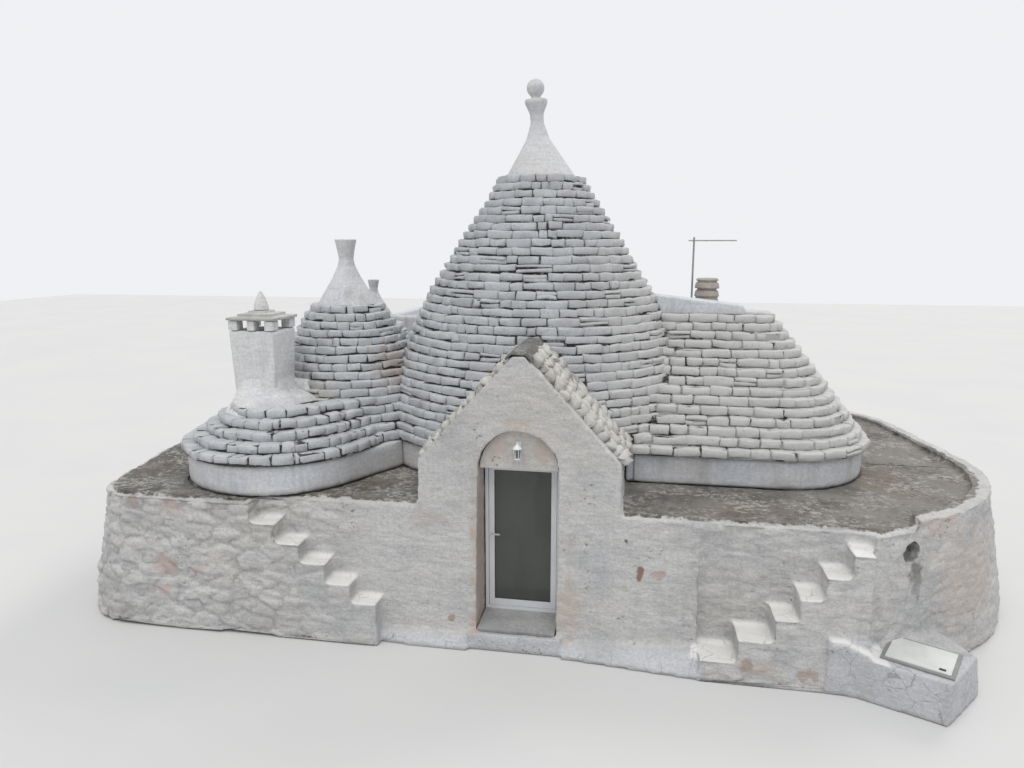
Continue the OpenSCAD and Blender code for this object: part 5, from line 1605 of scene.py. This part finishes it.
@dataclass
class MeshPen:
    """Builds a small mesh from simple solids."""

    name: str

    def __post_init__(self) -> None:
        """Start an empty mesh."""
        self.bm = bmesh.new()

    def box(self, low: Point, high: Point) -> None:
        """Add a box between two corners."""
        made = bmesh.ops.create_cube(self.bm, size=1.0)["verts"]
        for v in made:
            v.co = [low[i] + (v.co[i] + 0.5) * (high[i] - low[i]) for i in range(3)]

    def turned(self, centre: Point, profile: Table, steps: int = 20) -> None:
        """Add a turned solid from pairs of radius and height, closed at both ends."""
        turns = [2.0 * math.pi * k / steps for k in range(steps)]
        x, y, z = centre
        self.skin([[(x + r * math.cos(a), y + r * math.sin(a), z + height) for a in turns] for r, height in profile])

    def bar(self, base: Point, top: Point, radius: float) -> None:
        """Add a slim bar between two points."""
        corners = ((1, 1), (-1, 1), (-1, -1), (1, -1))
        self.skin([[(p[0] + radius * dx, p[1] + radius * dy, p[2]) for dx, dy in corners] for p in (base, top)])

    def skin(self, rings: list[list[Point]]) -> None:
        """Join rings of points into one solid, closed at both ends."""
        rows = [[self.bm.verts.new(p) for p in places] for places in rings]
        for low, high in zip(rows, rows[1:]):
            for k, corner in enumerate(low):
                after = (k + 1) % len(low)
                self.bm.faces.new((corner, low[after], high[after], high[k]))
        self.bm.faces.new(rows[0][::-1])
        self.bm.faces.new(rows[-1])

    def done(self, material: Material, bevel: float = 0.0, round_sides: bool = False) -> Piece:
        """Finish the mesh as an object, with its edges broken by a small bevel, or with its sides smooth."""
        bmesh.ops.recalc_face_normals(self.bm, faces=self.bm.faces)
        for face in self.bm.faces:
            face.smooth = round_sides and abs(face.normal.z) < 0.7
        mesh = bpy.data.meshes.new(self.name)
        self.bm.to_mesh(mesh)
        self.bm.free()
        mesh.materials.append(material)
        piece = new_object(self.name, mesh)
        if bevel:
            tool = piece.modifiers.new("bevel", "BEVEL")
            tool.width = bevel
            tool.segments = 2
            tool.limit_method = "ANGLE"
            applied(piece)
        return piece


@dataclass
class Doorway:
    """The glazed door, its frame, its handle and the lantern over it."""

    finishes: Finishes
    lid_at: Pair = (5.335, -4.385)
    lid_turn: float = -28.0
    lid_frame_t: float = 0.018
    cage_bars: int = 6
    hood: Table = (
        (0.052, 0.138), (0.064, 0.142), (0.064, 0.15), (0.045, 0.172), (0.02, 0.195), (0.012, 0.205), (0.014, 0.212),
        (0.006, 0.219),
    )

    def build(self) -> None:
        """Dress the CAD pieces and add the small trim."""
        f = self.finishes
        dress(("door_frame", "door_leaf", "door_hinges"), f.white_metal)
        dress(("door_glass",), f.glass)
        dress(("door_handle",), f.steel)
        dress(("door_sill", "room_floor"), f.flag)
        dress(("main_dome",), f.inner)
        dress(("porch_lunette",), f.lunette)
        dress(("aerial_mast", "aerial_boom"), f.aerial)
        self._gasket()
        self._lantern()
        self._lid()

    def _gasket(self) -> None:
        """Dark seal round the glass."""
        low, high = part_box("door_glass")
        pen = MeshPen("glass_seal")
        wide, thick = 0.008, 0.006
        for y in (low[1] - thick, high[1]):
            for x in (low[0], high[0] - wide):
                pen.box((x, y, low[2]), (x + wide, y + thick, high[2]))
            for z in (low[2], high[2] - wide):
                pen.box((low[0] + wide, y, z), (high[0] - wide, y + thick, z + wide))
        finish_piece(pen.done(self.finishes.rubber, 0.001), body=DOOR)

    def _lantern(self) -> None:
        """Wall lantern with a hood, a cage and glass."""
        low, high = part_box("wall_lantern")
        x = (low[0] + high[0]) / 2
        back = high[1]
        y = back - 0.11
        z = low[2]
        pen = MeshPen("lantern_cage")
        pen.box((x - 0.03, back - 0.012, z + 0.07), (x + 0.03, back, z + 0.21))
        pen.box((x - 0.008, y, z + 0.195), (x + 0.008, back - 0.01, z + 0.208))
        pen.turned((x, y, z), ((0.036, 0.0), (0.04, 0.004), (0.04, 0.014), (0.036, 0.018)))
        pen.turned((x, y, z), self.hood)
        for k in range(self.cage_bars):
            c, v = math.cos(2.0 * math.pi * k / self.cage_bars), math.sin(2.0 * math.pi * k / self.cage_bars)
            pen.bar((x + 0.036 * c, y + 0.036 * v, z + 0.012), (x + 0.05 * c, y + 0.05 * v, z + 0.14), 0.0035)
        finish_piece(pen.done(self.finishes.white_metal, 0.0008), ("wall_lantern",))
        glass = MeshPen("lantern_glass")
        glass.turned((x, y, z), ((0.033, 0.016), (0.046, 0.138)))
        finish_piece(glass.done(self.finishes.glass))

    def _lid(self) -> None:
        """White sheet in a grey frame on the cistern, with a dark latch."""
        low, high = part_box("cistern_lid")
        hatch = copied("cistern_hatch", ("cistern_lid",))
        for material in (self.finishes.lid, self.finishes.grey_metal):
            hatch.data.materials.append(material)
        for face in hatch.data.polygons:
            face.material_index = 0 if face.center.z > low[2] + self.lid_frame_t + 0.002 else 1
        finish_piece(hatch, ("cistern_lid",))
        angle = math.radians(self.lid_turn)
        pen = MeshPen("hatch_latch")
        pen.box((-0.13, 0.05, high[2]), (-0.06, 0.078, high[2] + 0.012))
        for v in pen.bm.verts:
            x, y = v.co.x, v.co.y
            v.co.x = self.lid_at[0] + x * math.cos(angle) - y * math.sin(angle)
            v.co.y = self.lid_at[1] + x * math.sin(angle) + y * math.cos(angle)
        finish_piece(pen.done(self.finishes.rubber, 0.0015))


@dataclass
class Studio:
    """Camera, lights and floor."""

    lens: float = 36.0 * 740.0 / 1024.0
    eye: Point = (1.748, -12.79, 5.36)
    pitch: float = 10.64
    yaw: float = 10.0
    floor_half: float = 60.0
    suns: tuple[tuple[str, Point, float, float, Point], ...] = (
        ("high_sun", (26.0, 0.0, 0.0), 1.5, 55.0, (1.0, 0.99, 0.97)),
        ("rim_sun", (-52.0, 0.0, -32.0), 0.8, 25.0, (1.0, 0.97, 0.93)),
    )

    def build(self) -> None:
        """Set up the view and the light."""
        scene = bpy.context.scene
        scene.view_settings.view_transform = "Standard"
        camera = bpy.data.cameras.new("photo_view")
        camera.lens = self.lens
        camera.sensor_width = 36.0
        camera.clip_end = 500.0
        eye = bpy.data.objects.new("photo_view", camera)
        eye.location = self.eye
        eye.rotation_euler = (math.radians(90.0 - self.pitch), 0.0, math.radians(self.yaw))
        scene.collection.objects.link(eye)
        scene.camera = eye
        for sun in self.suns:
            self._sun(*sun)
        self._world(scene)
        self._floor()

    @staticmethod
    def _sun(name: str, turn: Point, energy: float, spread: float, tone: Point) -> None:
        """Add one soft distant lamp.

        Args:
            name: Name of the lamp.
            turn: Its turn in degrees.
            energy: Its strength.
            spread: How wide it looks, in degrees.
            tone: Its colour.
        """
        lamp = bpy.data.lights.new(name, "SUN")
        lamp.energy = energy
        lamp.angle = math.radians(spread)
        lamp.color = tone
        holder = bpy.data.objects.new(name, lamp)
        holder.rotation_euler = tuple(math.radians(a) for a in turn)
        bpy.context.scene.collection.objects.link(holder)

    @staticmethod
    def _world(scene: bpy.types.Scene) -> None:
        """Even pale sky light, and a pale backdrop for the camera."""
        world = bpy.data.worlds.new("pale_sky")
        scene.world = world
        world.use_nodes = True
        world.node_tree.nodes.clear()
        s = Sketch(world.node_tree)
        path = s.add("ShaderNodeLightPath").outputs
        mirrored = s.math("MAXIMUM", path["Is Glossy Ray"], path["Is Transmission Ray"])
        seen = s.math("MAXIMUM", path["Is Camera Ray"], mirrored)
        strength = s.plus(0.7, s.mul(seen, 0.2))
        back = s.add("ShaderNodeBackground", {"Color": rgb(0.96, 0.975, 1.0), "Strength": strength})
        s.put(s.add("ShaderNodeOutputWorld"), 0, back.outputs[0])

    def _floor(self) -> None:
        """Plain pale floor under the house."""
        h = self.floor_half
        mesh = bpy.data.meshes.new("studio_floor")
        mesh.from_pydata([(-h, -h, 0), (h, -h, 0), (h, h, 0), (-h, h, 0)], [], [(0, 1, 2, 3)])
        floor = new_object("studio_floor", mesh)
        m = Shader("floor_paint", roughness=0.9)
        m.colour(m.blend(m.remap(m.noise(m.at, 0.3), 0.3, 0.7), rgb(0.62, 0.62, 0.61), rgb(0.6, 0.6, 0.6)))
        mesh.materials.append(m.material)


def main() -> None:
    """Build the house in order and report each piece."""
    logging.basicConfig(level=logging.INFO, format="%(name)s %(message)s")
    Studio().build()
    finishes = Finishes()
    body = Body()
    relief = Relief()
    Roofs(body, finishes, StoneTree()).build()
    PlasterWork(body, finishes, relief).build()
    BaseMass(body, finishes, relief).build()
    Doorway(finishes).build()


if __name__ == "__main__":
    main()
